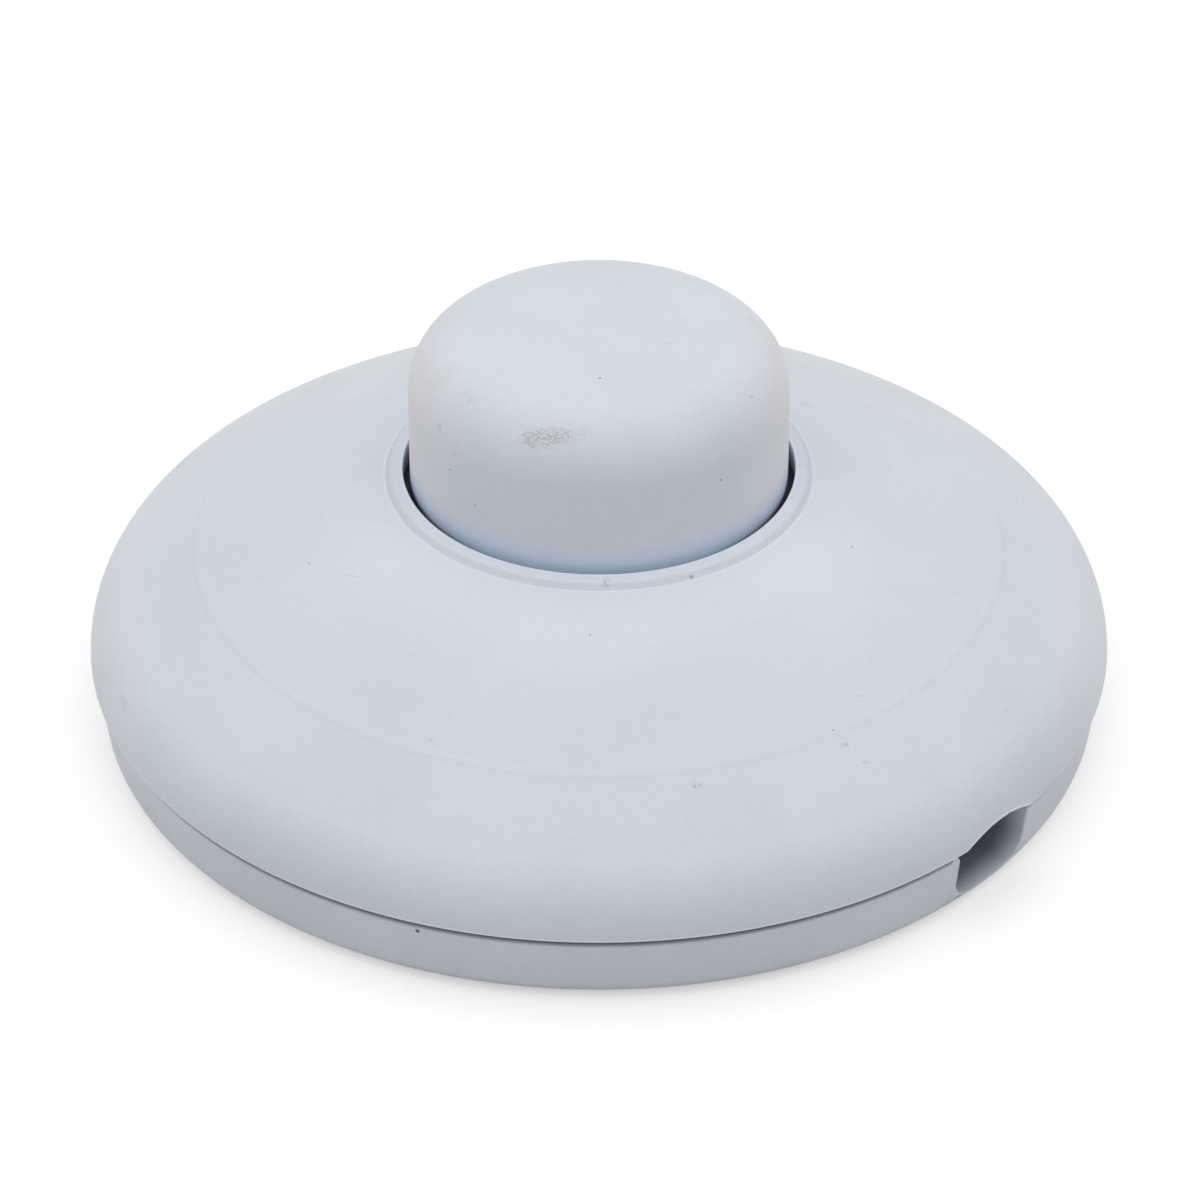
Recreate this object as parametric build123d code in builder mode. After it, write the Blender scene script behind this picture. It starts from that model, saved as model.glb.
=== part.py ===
from build123d import *
import math
import os

# Round in-line foot switch for a flexible lamp cord. Millimetres, +Z up, the feet stand on Z = 0.
# The cord runs along X: it comes in at one mouth of the housing and leaves at the other.
# A push of the button turns the contact rotor by one ratchet tooth: on, off, on, off.

# Housing
overall_radius = 50.0
wall = 2.0
parting_height = 7.6  # underside of the cover's rim
parting_gap = 0.35
shoulder_radius = 7.9
shoulder_angle = 34.3  # slope in degrees where the shoulder hands over to the dome
dome_radius = 89.5
lip_width = 1.7
lip_rise = 0.79
lip_bulge = 0.12
lip_edge = 0.15
foot_stand = 0.5  # the rubber feet hold the base off the floor by this
base_floor = 2.0
rim_overhang = 0.45  # the cover stands proud of the base all round
base_taper = 0.8
base_bottom_fillet = 1.7
base_rim_fillet = 0.55
spigot_height = 2.25
spigot_wall = 1.4
spigot_clearance = 0.6
spigot_lead_in = 0.4
rib_ring_inset = 10.8  # from the edge of the housing to the middle of the ring
rib_ring_width = 1.6
rib_ring_depth = 2.4

# Button
button_radius = 18.27
button_proud = 14.45  # above the lip of the hole
button_edge = 5.8
button_wall = 2.0
button_inner_edge = 2.4
button_gap = 0.68
button_travel = 5.0
flange_radius = 25.3
flange_thickness = 1.8
flange_gap = 0.3
skirt_wall = 2.0
skirt_clearance = 1.1  # above the terminal screws when the button is down
collar_clearance = 0.3
collar_wall = 1.6
collar_stand_off = 2.6  # above the terminal screws
key_count = 2
key_angle = 90.0
key_width = 3.0
key_depth = 1.0
key_clearance = 0.3
locating_ring_wall = 0.9
locating_ring_depth = 2.0
locating_ring_clearance = 0.1

# Ratchet drive: a collar in the button pushes the crown of saw teeth on the contact rotor
ratchet_teeth = 8
ratchet_bore_margin = 2.2  # from the post to the inside of the teeth
ratchet_outer_radius = 9.5
ratchet_gap = 0.3
ratchet_side_gap = 1.0  # degrees taken off each end of a tooth
ratchet_root = 1.0
tooth_blank_factor = 1.7  # the teeth are made wider than the band that they are trimmed to
collar_flange_margin = 1.5  # outside the teeth
collar_flange_height = 2.0
rotor_margin = 0.5  # outside the teeth
rotor_height = 6.9
rotor_lift = 0.1
post_clearance = 0.15
detent_notch_radius = 1.4
detent_notch_depth = 0.8
detent_height = 2.8
detent_angle = 90.0

# Switch body
body_spring_margin = 1.4  # from the middle of the return spring's wire to the side of the body
body_bore_gap = 0.6  # round the rotor
body_height = 10.5
body_floor = 2.0
post_radius = 3.0
post_height = 11.5
post_chamfer = 0.6
thrust_ring_radius = 5.0
thrust_ring_height = 0.5
body_ring_clearance = 0.3
body_ring_wall = 1.2
body_ring_height = 1.2
lug_reach = 4.1  # from the side of the body to the screws
lug_radius = 3.2
lug_thickness = 1.5
lug_angle = 45.0

# Button return spring
spring_side_gap = 0.4  # between the wire and the button's locating ring
spring_wire_radius = 0.6
spring_turns = 6
spring_seat_depth = 0.5
spring_seat_clearance = 0.2

# Detent leaf spring
leaf_thickness = 0.4
leaf_half_length = 5.7
leaf_width = 2.8
leaf_inset = 1.0  # behind the wall of the bore
leaf_nose_half_width = 2.8
leaf_nose_gap = 0.05
leaf_pocket_clearance = 0.15
leaf_pocket_lip = 1.2

# Contact star and live contacts
star_height = 3.7  # above the underside of the rotor
star_thickness = 1.0
star_arm_width = 4.0
star_hub_radius = 4.6
star_proud = 0.2
contact_gap = 0.25
contact_thickness = 0.6
contact_width = 7.0
contact_leaf_height = 5.8
contact_bend = 0.9
contact_rivet_radius = 1.5
contact_rivet_height = 0.5
contact_tail = 4.5  # beyond the terminal screw
contact_seat_height = 3.0
contact_seat_margin = 1.2
contact_sill = 0.1
contact_side_gap = 0.3
terminal_reach = 11.1  # from the side of the body to the terminal screw

# Through terminals for neutral and earth
block_length = 20.0
block_width = 6.5
block_height = 7.5
block_reach = 8.6  # from the side of the body to the middle of a block
block_edge = 0.5
block_bore_radius = 1.7
block_bore_height = 3.2
block_screw_spacing = 12.0
cradle_clearance = 0.15
cradle_wall = 1.2
cradle_height = 4.5
cradle_slot = 4.2

# Cord mouths
mouth_half_width = 5.05
mouth_floor = 0.85  # thickness left below the cord's channel
mouth_bottom_radius = 2.4
mouth_top_radius = 1.0
mouth_depth = 6.0
mouth_cheek = 1.8
mouth_spigot_margin = 2.2
arch_radius = 10.2
arch_crown = 8.8
arch_corner = 0.8

# Cord clamps
clamp_inset = 13.0  # from the edge of the housing to the middle of a clamp
clamp_screw_place = 8.6
clamp_post_radius = 3.2
clamp_post_height = 5.5
clamp_end_margin = 3.4
clamp_width = 6.4
clamp_thickness = 3.4
clamp_groove_half_width = 4.4
clamp_groove_depth = 1.6
clamp_tooth_width = 1.0
clamp_tooth_height = 0.6
clamp_edge = 0.6
grip_rib_height = 1.0
grip_rib_width = 1.0
grip_rib_spacing = 3.2
grip_rib_length = 8.0

# Screws
case_screw_inset = 12.0  # from the edge of the housing
case_screw_count = 3
case_screw_angle = 90.0
pillar_radius = 5.0
pillar_height = 4.7
boss_radius = 3.6
pilot_depth = 7.0
counterbore_radius = 3.6
counterbore_depth = 3.5
screw_slack = 0.25  # between a screw and the clearance hole that it passes
thread_slack = 0.05  # between a screw and the pilot hole that it bites into
case_screw_radius = 1.45
case_screw_length = 9.0
small_screw_radius = 1.25
clamp_screw_length = 7.2
lug_screw_length = 3.2
head_radius = 2.8
head_height = 2.0
head_edge = 0.5
slot_width = 0.8
slot_depth = 1.0
terminal_screw_radius = 1.5
terminal_screw_length = 3.2
terminal_washer_radius = 3.4
terminal_washer_height = 0.7
block_screw_radius = 1.4
block_screw_length = 3.4
block_head_radius = 2.1
block_head_height = 1.4

# Rubber feet
foot_inset = 10.0  # from the edge of the housing
foot_count = 3
foot_angle = 30.0
foot_radius = 4.4
foot_clearance = 0.1
foot_recess = 1.0
foot_edge = 0.3

# Heights and radii that follow
base_bottom = foot_stand
floor_top = base_bottom + base_floor
base_rim = parting_height - parting_gap
base_rim_radius = overall_radius - rim_overhang
base_bottom_radius = base_rim_radius - base_taper
spigot_radius = overall_radius - wall - spigot_clearance
spigot_top = base_rim + spigot_height
slope = math.radians(shoulder_angle)
shoulder_centre = (overall_radius - shoulder_radius, parting_height)
dome_centre = (
    shoulder_centre[0] - (dome_radius - shoulder_radius) * math.sin(slope),
    shoulder_centre[1] - (dome_radius - shoulder_radius) * math.cos(slope),
)
hole_radius = button_radius + button_gap
lip_radius = hole_radius + lip_width
above_all = 2 * overall_radius  # taller than anything that it has to cut or trim
rib_ring_radius = overall_radius - rib_ring_inset
case_screw_circle_radius = overall_radius - case_screw_inset
foot_circle_radius = overall_radius - foot_inset
clamp_place = overall_radius - clamp_inset
ratchet_inner_radius = post_radius + ratchet_bore_margin
collar_flange_radius = ratchet_outer_radius + collar_flange_margin
rotor_radius = ratchet_outer_radius + rotor_margin
body_bore_radius = rotor_radius + body_bore_gap
locating_ring_radius = collar_flange_radius + locating_ring_clearance
spring_radius = locating_ring_radius + locating_ring_wall + spring_side_gap + spring_wire_radius
body_radius = spring_radius + body_spring_margin
lug_circle_radius = body_radius + lug_reach
leaf_place = body_bore_radius + leaf_inset
terminal_place = body_radius + terminal_reach
contact_reach = terminal_place + contact_tail
block_place = body_radius + block_reach


def dome_height(radius, inset=0.0):
    """Height of the surface that lies inset below the dome, at a radius."""
    reach = dome_radius - inset
    return dome_centre[1] + math.sqrt(reach**2 - (radius - dome_centre[0]) ** 2)


def dome_angle(radius, inset=0.0):
    """Angle about the dome's centre, in degrees, of the same point."""
    return math.degrees(math.acos((radius - dome_centre[0]) / (dome_radius - inset)))


def radial_plane(angle):
    """Plane through the Z axis, with the radius as its X and the height as its Y."""
    turn = math.radians(angle)
    return Plane(
        origin=(0, 0, 0),
        x_dir=(math.cos(turn), math.sin(turn), 0),
        z_dir=(math.sin(turn), -math.cos(turn), 0),
    )


lip_top = dome_height(lip_radius) + lip_rise
button_top = lip_top + button_proud
button_under = button_top - button_wall
flange_inset = wall + flange_gap
skirt_radius = flange_radius - skirt_wall
collar_radius = flange_radius + collar_clearance
block_top = floor_top + block_height
block_screw_top = block_top + block_head_height
skirt_bottom = block_screw_top + button_travel + skirt_clearance
collar_bottom = block_screw_top + collar_stand_off
pillar_top = floor_top + pillar_height
head_seat = base_bottom + counterbore_depth
clamp_bottom = floor_top + clamp_post_height
clamp_top = clamp_bottom + clamp_thickness
clamp_half_length = clamp_screw_place + clamp_end_margin
body_floor_top = floor_top + body_floor
body_top = floor_top + body_height
rotor_bottom = body_floor_top + thrust_ring_height + rotor_lift
rotor_top = rotor_bottom + rotor_height
rotor_bore_radius = post_radius + post_clearance
tooth_angle = 360.0 / ratchet_teeth
drive_bottom = rotor_top + button_travel + ratchet_gap
drive_root = drive_bottom + button_travel + ratchet_gap
spring_seat = body_top - spring_seat_depth
star_bottom = rotor_bottom + star_height
star_middle = star_bottom + star_thickness / 2
contact_face = rotor_radius + star_proud + contact_gap + contact_rivet_height
contact_bottom = floor_top + contact_seat_height
contact_top = contact_bottom + contact_thickness
contact_leaf_top = contact_bottom + contact_leaf_height
lug_bottom = body_floor_top
lug_top = lug_bottom + lug_thickness


def make_screw(head, height, shank, length, washer=0.0, washer_height=0.0):
    """Slotted screw, head up, with the underside of its head or washer at the origin."""
    with BuildPart() as screw:
        with BuildSketch(Plane.XY.offset(washer_height)):
            Circle(head)
        extrude(amount=height)
        fillet(screw.edges().group_by(Axis.Z)[-1], radius=head_edge)
        with BuildSketch(Plane.XY.offset(washer_height + height)):
            Rectangle(2 * head, slot_width)
        extrude(amount=-slot_depth, mode=Mode.SUBTRACT)
        if washer:
            with BuildSketch():
                Circle(washer)
            extrude(amount=washer_height)
        with BuildSketch():
            Circle(shank)
        extrude(amount=-length)
    return screw.part


# Base shell: dished floor with a rim, and the spigot that centres the cover
with BuildPart() as base_shell:
    with BuildSketch(Plane.XZ):
        with BuildLine():
            Polyline(
                (0, base_bottom),
                (base_bottom_radius, base_bottom),
                (base_rim_radius, base_rim),
                (spigot_radius, base_rim),
                (spigot_radius, spigot_top - spigot_lead_in),
                (spigot_radius - spigot_lead_in, spigot_top),
                (spigot_radius - spigot_wall, spigot_top),
                (spigot_radius - spigot_wall, floor_top),
                (0, floor_top),
                close=True,
            )
        make_face()
    revolve(axis=Axis.Z)
    bottom_edge = base_shell.edges().group_by(Axis.Z)[0]
    fillet(bottom_edge, radius=base_bottom_fillet)
    rim_edges = base_shell.edges().filter_by_position(
        Axis.Z, base_rim - parting_gap / 2, base_rim + parting_gap / 2
    )
    fillet(rim_edges.sort_by(SortBy.LENGTH)[-1], radius=base_rim_fillet)

    # Cheeks beside the two cord channels
    channel_start = base_rim_radius - mouth_depth
    cheek_length = spigot_radius - spigot_wall / 2 - channel_start
    with BuildSketch(Plane.XY.offset(base_rim)):
        with GridLocations(2 * channel_start + cheek_length, 0, 2, 1):
            Rectangle(cheek_length, 2 * (mouth_half_width + mouth_cheek))
    extrude(amount=base_bottom - base_rim)

    # Pillars for the case screws
    with BuildSketch(Plane.XY.offset(floor_top)):
        with PolarLocations(case_screw_circle_radius, case_screw_count, case_screw_angle):
            Circle(pillar_radius)
    extrude(amount=pillar_height)

    # Ring round the switch body, and the seats of its lugs
    with BuildSketch(Plane.XY.offset(floor_top)):
        Circle(body_radius + body_ring_clearance + body_ring_wall)
        Circle(body_radius + body_ring_clearance, mode=Mode.SUBTRACT)
    extrude(amount=body_ring_height)
    with BuildSketch(Plane.XY.offset(floor_top)):
        with PolarLocations(lug_circle_radius, 2, lug_angle):
            Circle(lug_radius)
        Circle(body_radius + body_ring_clearance, mode=Mode.SUBTRACT)
    extrude(amount=lug_bottom - floor_top)

    # Seats of the two live contacts
    seat_start = body_radius + body_ring_clearance + body_ring_wall / 2
    seat_length = contact_reach + contact_seat_margin - seat_start
    with BuildSketch(Plane.XY.offset(floor_top)):
        with GridLocations(2 * seat_start + seat_length, 0, 2, 1):
            Rectangle(seat_length, contact_width + 2 * contact_seat_margin)
    extrude(amount=contact_seat_height)

    # Cradles of the neutral and earth blocks, open at the ends for the wires
    cradle_length = block_length + 2 * cradle_clearance
    cradle_width = block_width + 2 * cradle_clearance
    with BuildSketch(Plane.XY.offset(floor_top)):
        with GridLocations(0, 2 * block_place, 1, 2):
            Rectangle(cradle_length + 2 * cradle_wall, cradle_width + 2 * cradle_wall)
            Rectangle(cradle_length, cradle_width, mode=Mode.SUBTRACT)
            Rectangle(cradle_length + 3 * cradle_wall, cradle_slot, mode=Mode.SUBTRACT)
    extrude(amount=cradle_height)

    # Posts of the cord clamps, with the ribs that the cord is pressed on
    with BuildSketch(Plane.XY.offset(floor_top)):
        with GridLocations(2 * clamp_place, 2 * clamp_screw_place, 2, 2):
            Circle(clamp_post_radius)
    extrude(amount=clamp_post_height)
    with BuildSketch(Plane.XY.offset(floor_top)):
        with GridLocations(2 * clamp_place, 0, 2, 1):
            with GridLocations(grip_rib_spacing, 0, 2, 1):
                Rectangle(grip_rib_width, grip_rib_length)
    extrude(amount=grip_rib_height)

    # Cord channels: cut through the wall and the cheeks, flared at the rim
    channel_bottom = base_bottom + mouth_floor
    for side in (1, -1):
        with BuildSketch(Plane.YZ.offset(side * channel_start)) as mouth:
            with Locations((0, (channel_bottom + base_rim) / 2)):
                Rectangle(2 * mouth_half_width, base_rim - channel_bottom)
            fillet(mouth.vertices().group_by(Axis.Y)[0], radius=mouth_bottom_radius)
            with Locations((0, base_rim + spigot_height)):
                Rectangle(2 * (mouth_half_width + mouth_spigot_margin), 2 * spigot_height)
            flare = mouth.vertices().group_by(Axis.Y)[-2].sort_by(Axis.X)
            fillet(flare[1:-1], radius=mouth_top_radius)
        extrude(amount=side * mouth_depth * 2, mode=Mode.SUBTRACT)

    # Case screws: heads sunk in from below
    with BuildSketch(Plane.XY.offset(base_bottom)):
        with PolarLocations(case_screw_circle_radius, case_screw_count, case_screw_angle):
            Circle(counterbore_radius)
    extrude(amount=counterbore_depth, mode=Mode.SUBTRACT)
    with BuildSketch(Plane.XY.offset(base_bottom)):
        with PolarLocations(case_screw_circle_radius, case_screw_count, case_screw_angle):
            Circle(case_screw_radius + screw_slack)
    extrude(amount=pillar_top - base_bottom, mode=Mode.SUBTRACT)

    # Pilot holes of the lug and clamp screws, and room for the terminal screws
    with BuildSketch(Plane.XY.offset(lug_bottom)):
        with PolarLocations(lug_circle_radius, 2, lug_angle):
            Circle(small_screw_radius + thread_slack)
    extrude(amount=lug_thickness - lug_screw_length - screw_slack, mode=Mode.SUBTRACT)
    with BuildSketch(Plane.XY.offset(clamp_bottom)):
        with GridLocations(2 * clamp_place, 2 * clamp_screw_place, 2, 2):
            Circle(small_screw_radius + thread_slack)
    extrude(amount=clamp_thickness - clamp_screw_length - screw_slack, mode=Mode.SUBTRACT)
    with BuildSketch(Plane.XY.offset(contact_bottom)):
        with GridLocations(2 * terminal_place, 0, 2, 1):
            Circle(terminal_screw_radius + screw_slack)
    extrude(
        amount=contact_thickness - terminal_screw_length - screw_slack, mode=Mode.SUBTRACT
    )

    # Recesses for the rubber feet
    with BuildSketch(Plane.XY.offset(base_bottom)):
        with PolarLocations(foot_circle_radius, foot_count, foot_angle):
            Circle(foot_radius + foot_clearance)
    extrude(amount=foot_recess, mode=Mode.SUBTRACT)

# Inside of the cover: guide collar with its keys, screw bosses and a stiffening ring.
# They are raised past the dome and then trimmed to the middle of its wall.
with BuildPart() as cover_inside:
    with BuildSketch(Plane.XY.offset(collar_bottom)):
        Circle(collar_radius + collar_wall)
        Circle(collar_radius, mode=Mode.SUBTRACT)
        with PolarLocations(collar_radius + (collar_wall - key_depth) / 2, key_count, key_angle):
            Rectangle(collar_wall + key_depth, key_width)
    extrude(amount=above_all)
    with BuildSketch(Plane.XY.offset(pillar_top)):
        with PolarLocations(case_screw_circle_radius, case_screw_count, case_screw_angle):
            Circle(boss_radius)
    extrude(amount=above_all)
    rib_ring_bottom = dome_height(rib_ring_radius, wall) - rib_ring_depth
    with BuildSketch(Plane.XY.offset(rib_ring_bottom)):
        Circle(rib_ring_radius + rib_ring_width / 2)
        Circle(rib_ring_radius - rib_ring_width / 2, mode=Mode.SUBTRACT)
    extrude(amount=above_all)
    with BuildSketch(Plane.XY.offset(pillar_top)):
        with PolarLocations(case_screw_circle_radius, case_screw_count, case_screw_angle):
            Circle(case_screw_radius + thread_slack)
    extrude(amount=pilot_depth, mode=Mode.SUBTRACT)
    with BuildSketch(Plane.XZ):
        with BuildLine():
            mid_shoulder = CenterArc(
                shoulder_centre, shoulder_radius - wall / 2, 0, 90 - shoulder_angle
            )
            mid_dome = CenterArc(
                dome_centre,
                dome_radius - wall / 2,
                90 - shoulder_angle,
                dome_angle(hole_radius, wall / 2) - 90 + shoulder_angle,
            )
            Polyline(
                mid_dome @ 1,
                (0, dome_height(hole_radius, wall / 2)),
                (0, 0),
                (overall_radius - wall / 2, 0),
                mid_shoulder @ 0,
            )
        make_face()
    revolve(axis=Axis.Z, mode=Mode.INTERSECT)

# Top cover: shoulder and shallow dome, with a raised lip round the button's hole
with BuildPart() as top_cover:
    with BuildSketch(Plane.XZ):
        with BuildLine():
            shoulder = CenterArc(shoulder_centre, shoulder_radius, 0, 90 - shoulder_angle)
            dome = CenterArc(
                dome_centre,
                dome_radius,
                90 - shoulder_angle,
                dome_angle(lip_radius) - 90 + shoulder_angle,
            )
            lip_middle = (hole_radius + lip_width / 2, lip_top - lip_rise / 2 + lip_bulge)
            ThreePointArc(dome @ 1, lip_middle, (hole_radius, lip_top))
            inner_shoulder = CenterArc(
                shoulder_centre, shoulder_radius - wall, 0, 90 - shoulder_angle
            )
            inner_dome = CenterArc(
                dome_centre,
                dome_radius - wall,
                90 - shoulder_angle,
                dome_angle(hole_radius, wall) - 90 + shoulder_angle,
            )
            Line((hole_radius, lip_top), inner_dome @ 1)
            Line(inner_shoulder @ 0, shoulder @ 0)
        make_face()
    revolve(axis=Axis.Z)
    hole_edge = top_cover.edges().filter_by_position(
        Axis.Z, lip_top - lip_edge / 2, lip_top + lip_edge / 2
    )
    fillet(hole_edge, radius=lip_edge)
    add(cover_inside.part)

    # Arches over the two cord mouths
    with BuildSketch(Plane.YZ) as arch:
        with Locations((0, arch_crown - arch_radius)):
            Circle(arch_radius)
        with Locations((0, parting_height / 2)):
            Rectangle(2 * (mouth_half_width + mouth_spigot_margin), parting_height)
        arch_feet = arch.vertices().filter_by_position(
            Axis.Y, parting_height - wall / 10, parting_height + wall / 10
        )
        fillet(arch_feet.sort_by(Axis.X)[1:-1], radius=arch_corner)
    extrude(amount=overall_radius + wall, both=True, mode=Mode.SUBTRACT)

# Push button: deep cap, a flange under the dome and the skirt that the collar guides
with BuildPart() as push_button:
    with BuildSketch(Plane.XZ):
        with BuildLine():
            cap_bore = button_radius - button_wall
            flange_under = flange_inset + flange_thickness
            top_corner = CenterArc(
                (button_radius - button_edge, button_top - button_edge), button_edge, 0, 90
            )
            inner_corner = CenterArc(
                (cap_bore - button_inner_edge, button_under - button_inner_edge),
                button_inner_edge,
                0,
                90,
            )
            Polyline(top_corner @ 1, (0, button_top), (0, button_under), inner_corner @ 1)
            flange_face = CenterArc(
                dome_centre,
                dome_radius - flange_inset,
                dome_angle(flange_radius, flange_inset),
                dome_angle(button_radius, flange_inset) - dome_angle(flange_radius, flange_inset),
            )
            flange_back = CenterArc(
                dome_centre,
                dome_radius - flange_under,
                dome_angle(skirt_radius, flange_under),
                dome_angle(cap_bore, flange_under) - dome_angle(skirt_radius, flange_under),
            )
            Line(top_corner @ 0, flange_face @ 1)
            Polyline(
                flange_face @ 0,
                (flange_radius, skirt_bottom),
                (skirt_radius, skirt_bottom),
                flange_back @ 0,
            )
            Line(flange_back @ 1, inner_corner @ 0)
        make_face()
    revolve(axis=Axis.Z)

    # Ring inside the top that centres the drive collar and the spring
    with BuildSketch(Plane.XY.offset(button_under)):
        Circle(locating_ring_radius + locating_ring_wall)
        Circle(locating_ring_radius, mode=Mode.SUBTRACT)
    extrude(amount=-locating_ring_depth)

    # Keyways that stop the button from turning
    with BuildSketch(Plane.XY.offset(skirt_bottom)):
        keyway_depth = key_depth - collar_clearance + key_clearance
        with PolarLocations(flange_radius, key_count, key_angle):
            Rectangle(2 * keyway_depth, key_width + 2 * key_clearance)
    extrude(amount=dome_height(button_radius, flange_inset) - skirt_bottom, mode=Mode.SUBTRACT)

# One saw tooth of the rotor's crown, a ramp between two radial sections
tooth_ends = (ratchet_side_gap, tooth_angle - ratchet_side_gap)
tooth_band = ratchet_outer_radius - ratchet_inner_radius
tooth_middle = (ratchet_outer_radius + ratchet_inner_radius) / 2
with BuildPart() as rotor_tooth:
    for angle in tooth_ends:
        ramp = rotor_top + button_travel * angle / tooth_angle
        with BuildSketch(radial_plane(angle)):
            with Locations((tooth_middle, (rotor_top - ratchet_root + ramp) / 2)):
                Rectangle(tooth_blank_factor * tooth_band, ramp - rotor_top + ratchet_root)
    loft(ruled=True)

# The matching tooth of the drive collar, which points down
with BuildPart() as drive_tooth:
    for angle in tooth_ends:
        ramp = drive_bottom + button_travel * angle / tooth_angle
        with BuildSketch(radial_plane(angle)):
            with Locations((tooth_middle, (drive_root + ratchet_root + ramp) / 2)):
                Rectangle(tooth_blank_factor * tooth_band, drive_root + ratchet_root - ramp)
    loft(ruled=True)

# The two crowns: teeth in a circle, trimmed to the band that meets
with BuildPart() as rotor_crown:
    with PolarLocations(0, ratchet_teeth):
        add(rotor_tooth.part)
    with BuildSketch():
        Circle(ratchet_outer_radius)
        Circle(ratchet_inner_radius, mode=Mode.SUBTRACT)
    extrude(amount=above_all, mode=Mode.INTERSECT)

with BuildPart() as drive_crown:
    with PolarLocations(0, ratchet_teeth):
        add(drive_tooth.part)
    with BuildSketch():
        Circle(ratchet_outer_radius)
        Circle(ratchet_inner_radius, mode=Mode.SUBTRACT)
    extrude(amount=above_all, mode=Mode.INTERSECT)

# Drive collar: tube with a flange under the button's top and the crown at its foot
with BuildPart() as drive_collar:
    with BuildSketch(Plane.XY.offset(drive_root)):
        Circle(ratchet_outer_radius)
        Circle(ratchet_inner_radius, mode=Mode.SUBTRACT)
    extrude(amount=button_under - drive_root)
    with BuildSketch(Plane.XY.offset(button_under)):
        Circle(collar_flange_radius)
        Circle(ratchet_inner_radius, mode=Mode.SUBTRACT)
    extrude(amount=-collar_flange_height)
    add(drive_crown.part)

# Contact star: one stamped cross that bridges the two live contacts
with BuildPart() as contact_star:
    with BuildSketch(Plane.XY.offset(star_bottom)):
        Circle(star_hub_radius)
        for turn in (tooth_angle, tooth_angle + 90):
            Rectangle(3 * rotor_radius, star_arm_width, rotation=turn)
        Circle(rotor_radius + star_proud, mode=Mode.INTERSECT)
        Circle(rotor_bore_radius, mode=Mode.SUBTRACT)
    extrude(amount=star_thickness)

# Contact rotor: drum moulded round the star, with the ratchet crown on top
with BuildPart() as contact_rotor:
    with BuildSketch(Plane.XY.offset(rotor_bottom)):
        Circle(rotor_radius)
    extrude(amount=rotor_height)
    add(rotor_crown.part)
    with BuildSketch(Plane.XY.offset(rotor_bottom)):
        Circle(rotor_bore_radius)
    extrude(amount=above_all, mode=Mode.SUBTRACT)
    with BuildSketch(Plane.XY.offset(rotor_bottom)):
        notch_circle = rotor_radius + detent_notch_radius - detent_notch_depth
        with PolarLocations(notch_circle, ratchet_teeth, detent_angle):
            Circle(detent_notch_radius)
    extrude(amount=detent_height, mode=Mode.SUBTRACT)
    add(contact_star.part, mode=Mode.SUBTRACT)

# Switch body: cup that carries the rotor on a post and the return spring on its rim
with BuildPart() as switch_body:
    with BuildSketch(Plane.XY.offset(floor_top)):
        Circle(body_radius)
    extrude(amount=body_height)
    with BuildSketch(Plane.XY.offset(lug_bottom)):
        with PolarLocations(lug_circle_radius, 2, lug_angle):
            Circle(lug_radius)
        with PolarLocations(lug_circle_radius / 2, 2, lug_angle):
            Rectangle(lug_circle_radius, 2 * lug_radius)
    extrude(amount=lug_thickness)
    with BuildSketch(Plane.XY.offset(body_floor_top)):
        Circle(body_bore_radius)
    extrude(amount=body_height, mode=Mode.SUBTRACT)
    with BuildSketch(Plane.XY.offset(body_floor_top)):
        Circle(thrust_ring_radius)
    extrude(amount=thrust_ring_height)
    with BuildSketch(Plane.XY.offset(body_floor_top)):
        Circle(post_radius)
    extrude(amount=post_height)
    chamfer(switch_body.edges().group_by(Axis.Z)[-1], length=post_chamfer)

    # Seat of the spring
    with BuildSketch(Plane.XY.offset(spring_seat)):
        seat_half_width = spring_wire_radius + spring_seat_clearance
        Circle(spring_radius + seat_half_width)
        Circle(spring_radius - seat_half_width, mode=Mode.SUBTRACT)
    extrude(amount=spring_seat_depth, mode=Mode.SUBTRACT)

    # Windows that the live contacts reach in through
    window_bottom = contact_bottom - contact_sill
    window_top = contact_leaf_top + contact_side_gap
    for side in (1, -1):
        with BuildSketch(Plane.YZ.offset(side * (post_radius + body_bore_radius) / 2)):
            with Locations((0, (window_bottom + window_top) / 2)):
                Rectangle(contact_width + 2 * contact_side_gap, window_top - window_bottom)
        extrude(amount=side * body_radius, mode=Mode.SUBTRACT)

    # Pocket of the detent leaf, with lips that keep its ends in
    pocket_half_length = leaf_half_length + leaf_pocket_clearance
    pocket_half_width = leaf_thickness / 2 + leaf_pocket_clearance
    pocket_back = leaf_place + pocket_half_width
    with BuildSketch(Plane.XY.offset(body_floor_top)):
        with Locations((0, leaf_place)):
            Rectangle(2 * pocket_half_length, 2 * pocket_half_width)
        with Locations((0, (pocket_back + body_bore_radius / 2) / 2)):
            Rectangle(
                2 * (pocket_half_length - leaf_pocket_lip), pocket_back - body_bore_radius / 2
            )
    extrude(amount=leaf_width + 2 * leaf_pocket_clearance, mode=Mode.SUBTRACT)

    # Screw holes of the lugs
    with BuildSketch(Plane.XY.offset(lug_bottom)):
        with PolarLocations(lug_circle_radius, 2, lug_angle):
            Circle(small_screw_radius + screw_slack)
    extrude(amount=lug_thickness, mode=Mode.SUBTRACT)

# Return spring between the switch body and the button
with BuildPart() as button_spring:
    coil_bottom = spring_seat + spring_wire_radius
    coil_height = button_under - spring_wire_radius - coil_bottom
    with BuildLine():
        coil = Helix(
            pitch=coil_height / spring_turns,
            height=coil_height,
            radius=spring_radius,
            center=(0, 0, coil_bottom),
        )
    with BuildSketch(Plane(origin=coil @ 0, z_dir=coil % 0)):
        Circle(spring_wire_radius)
    sweep()

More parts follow.
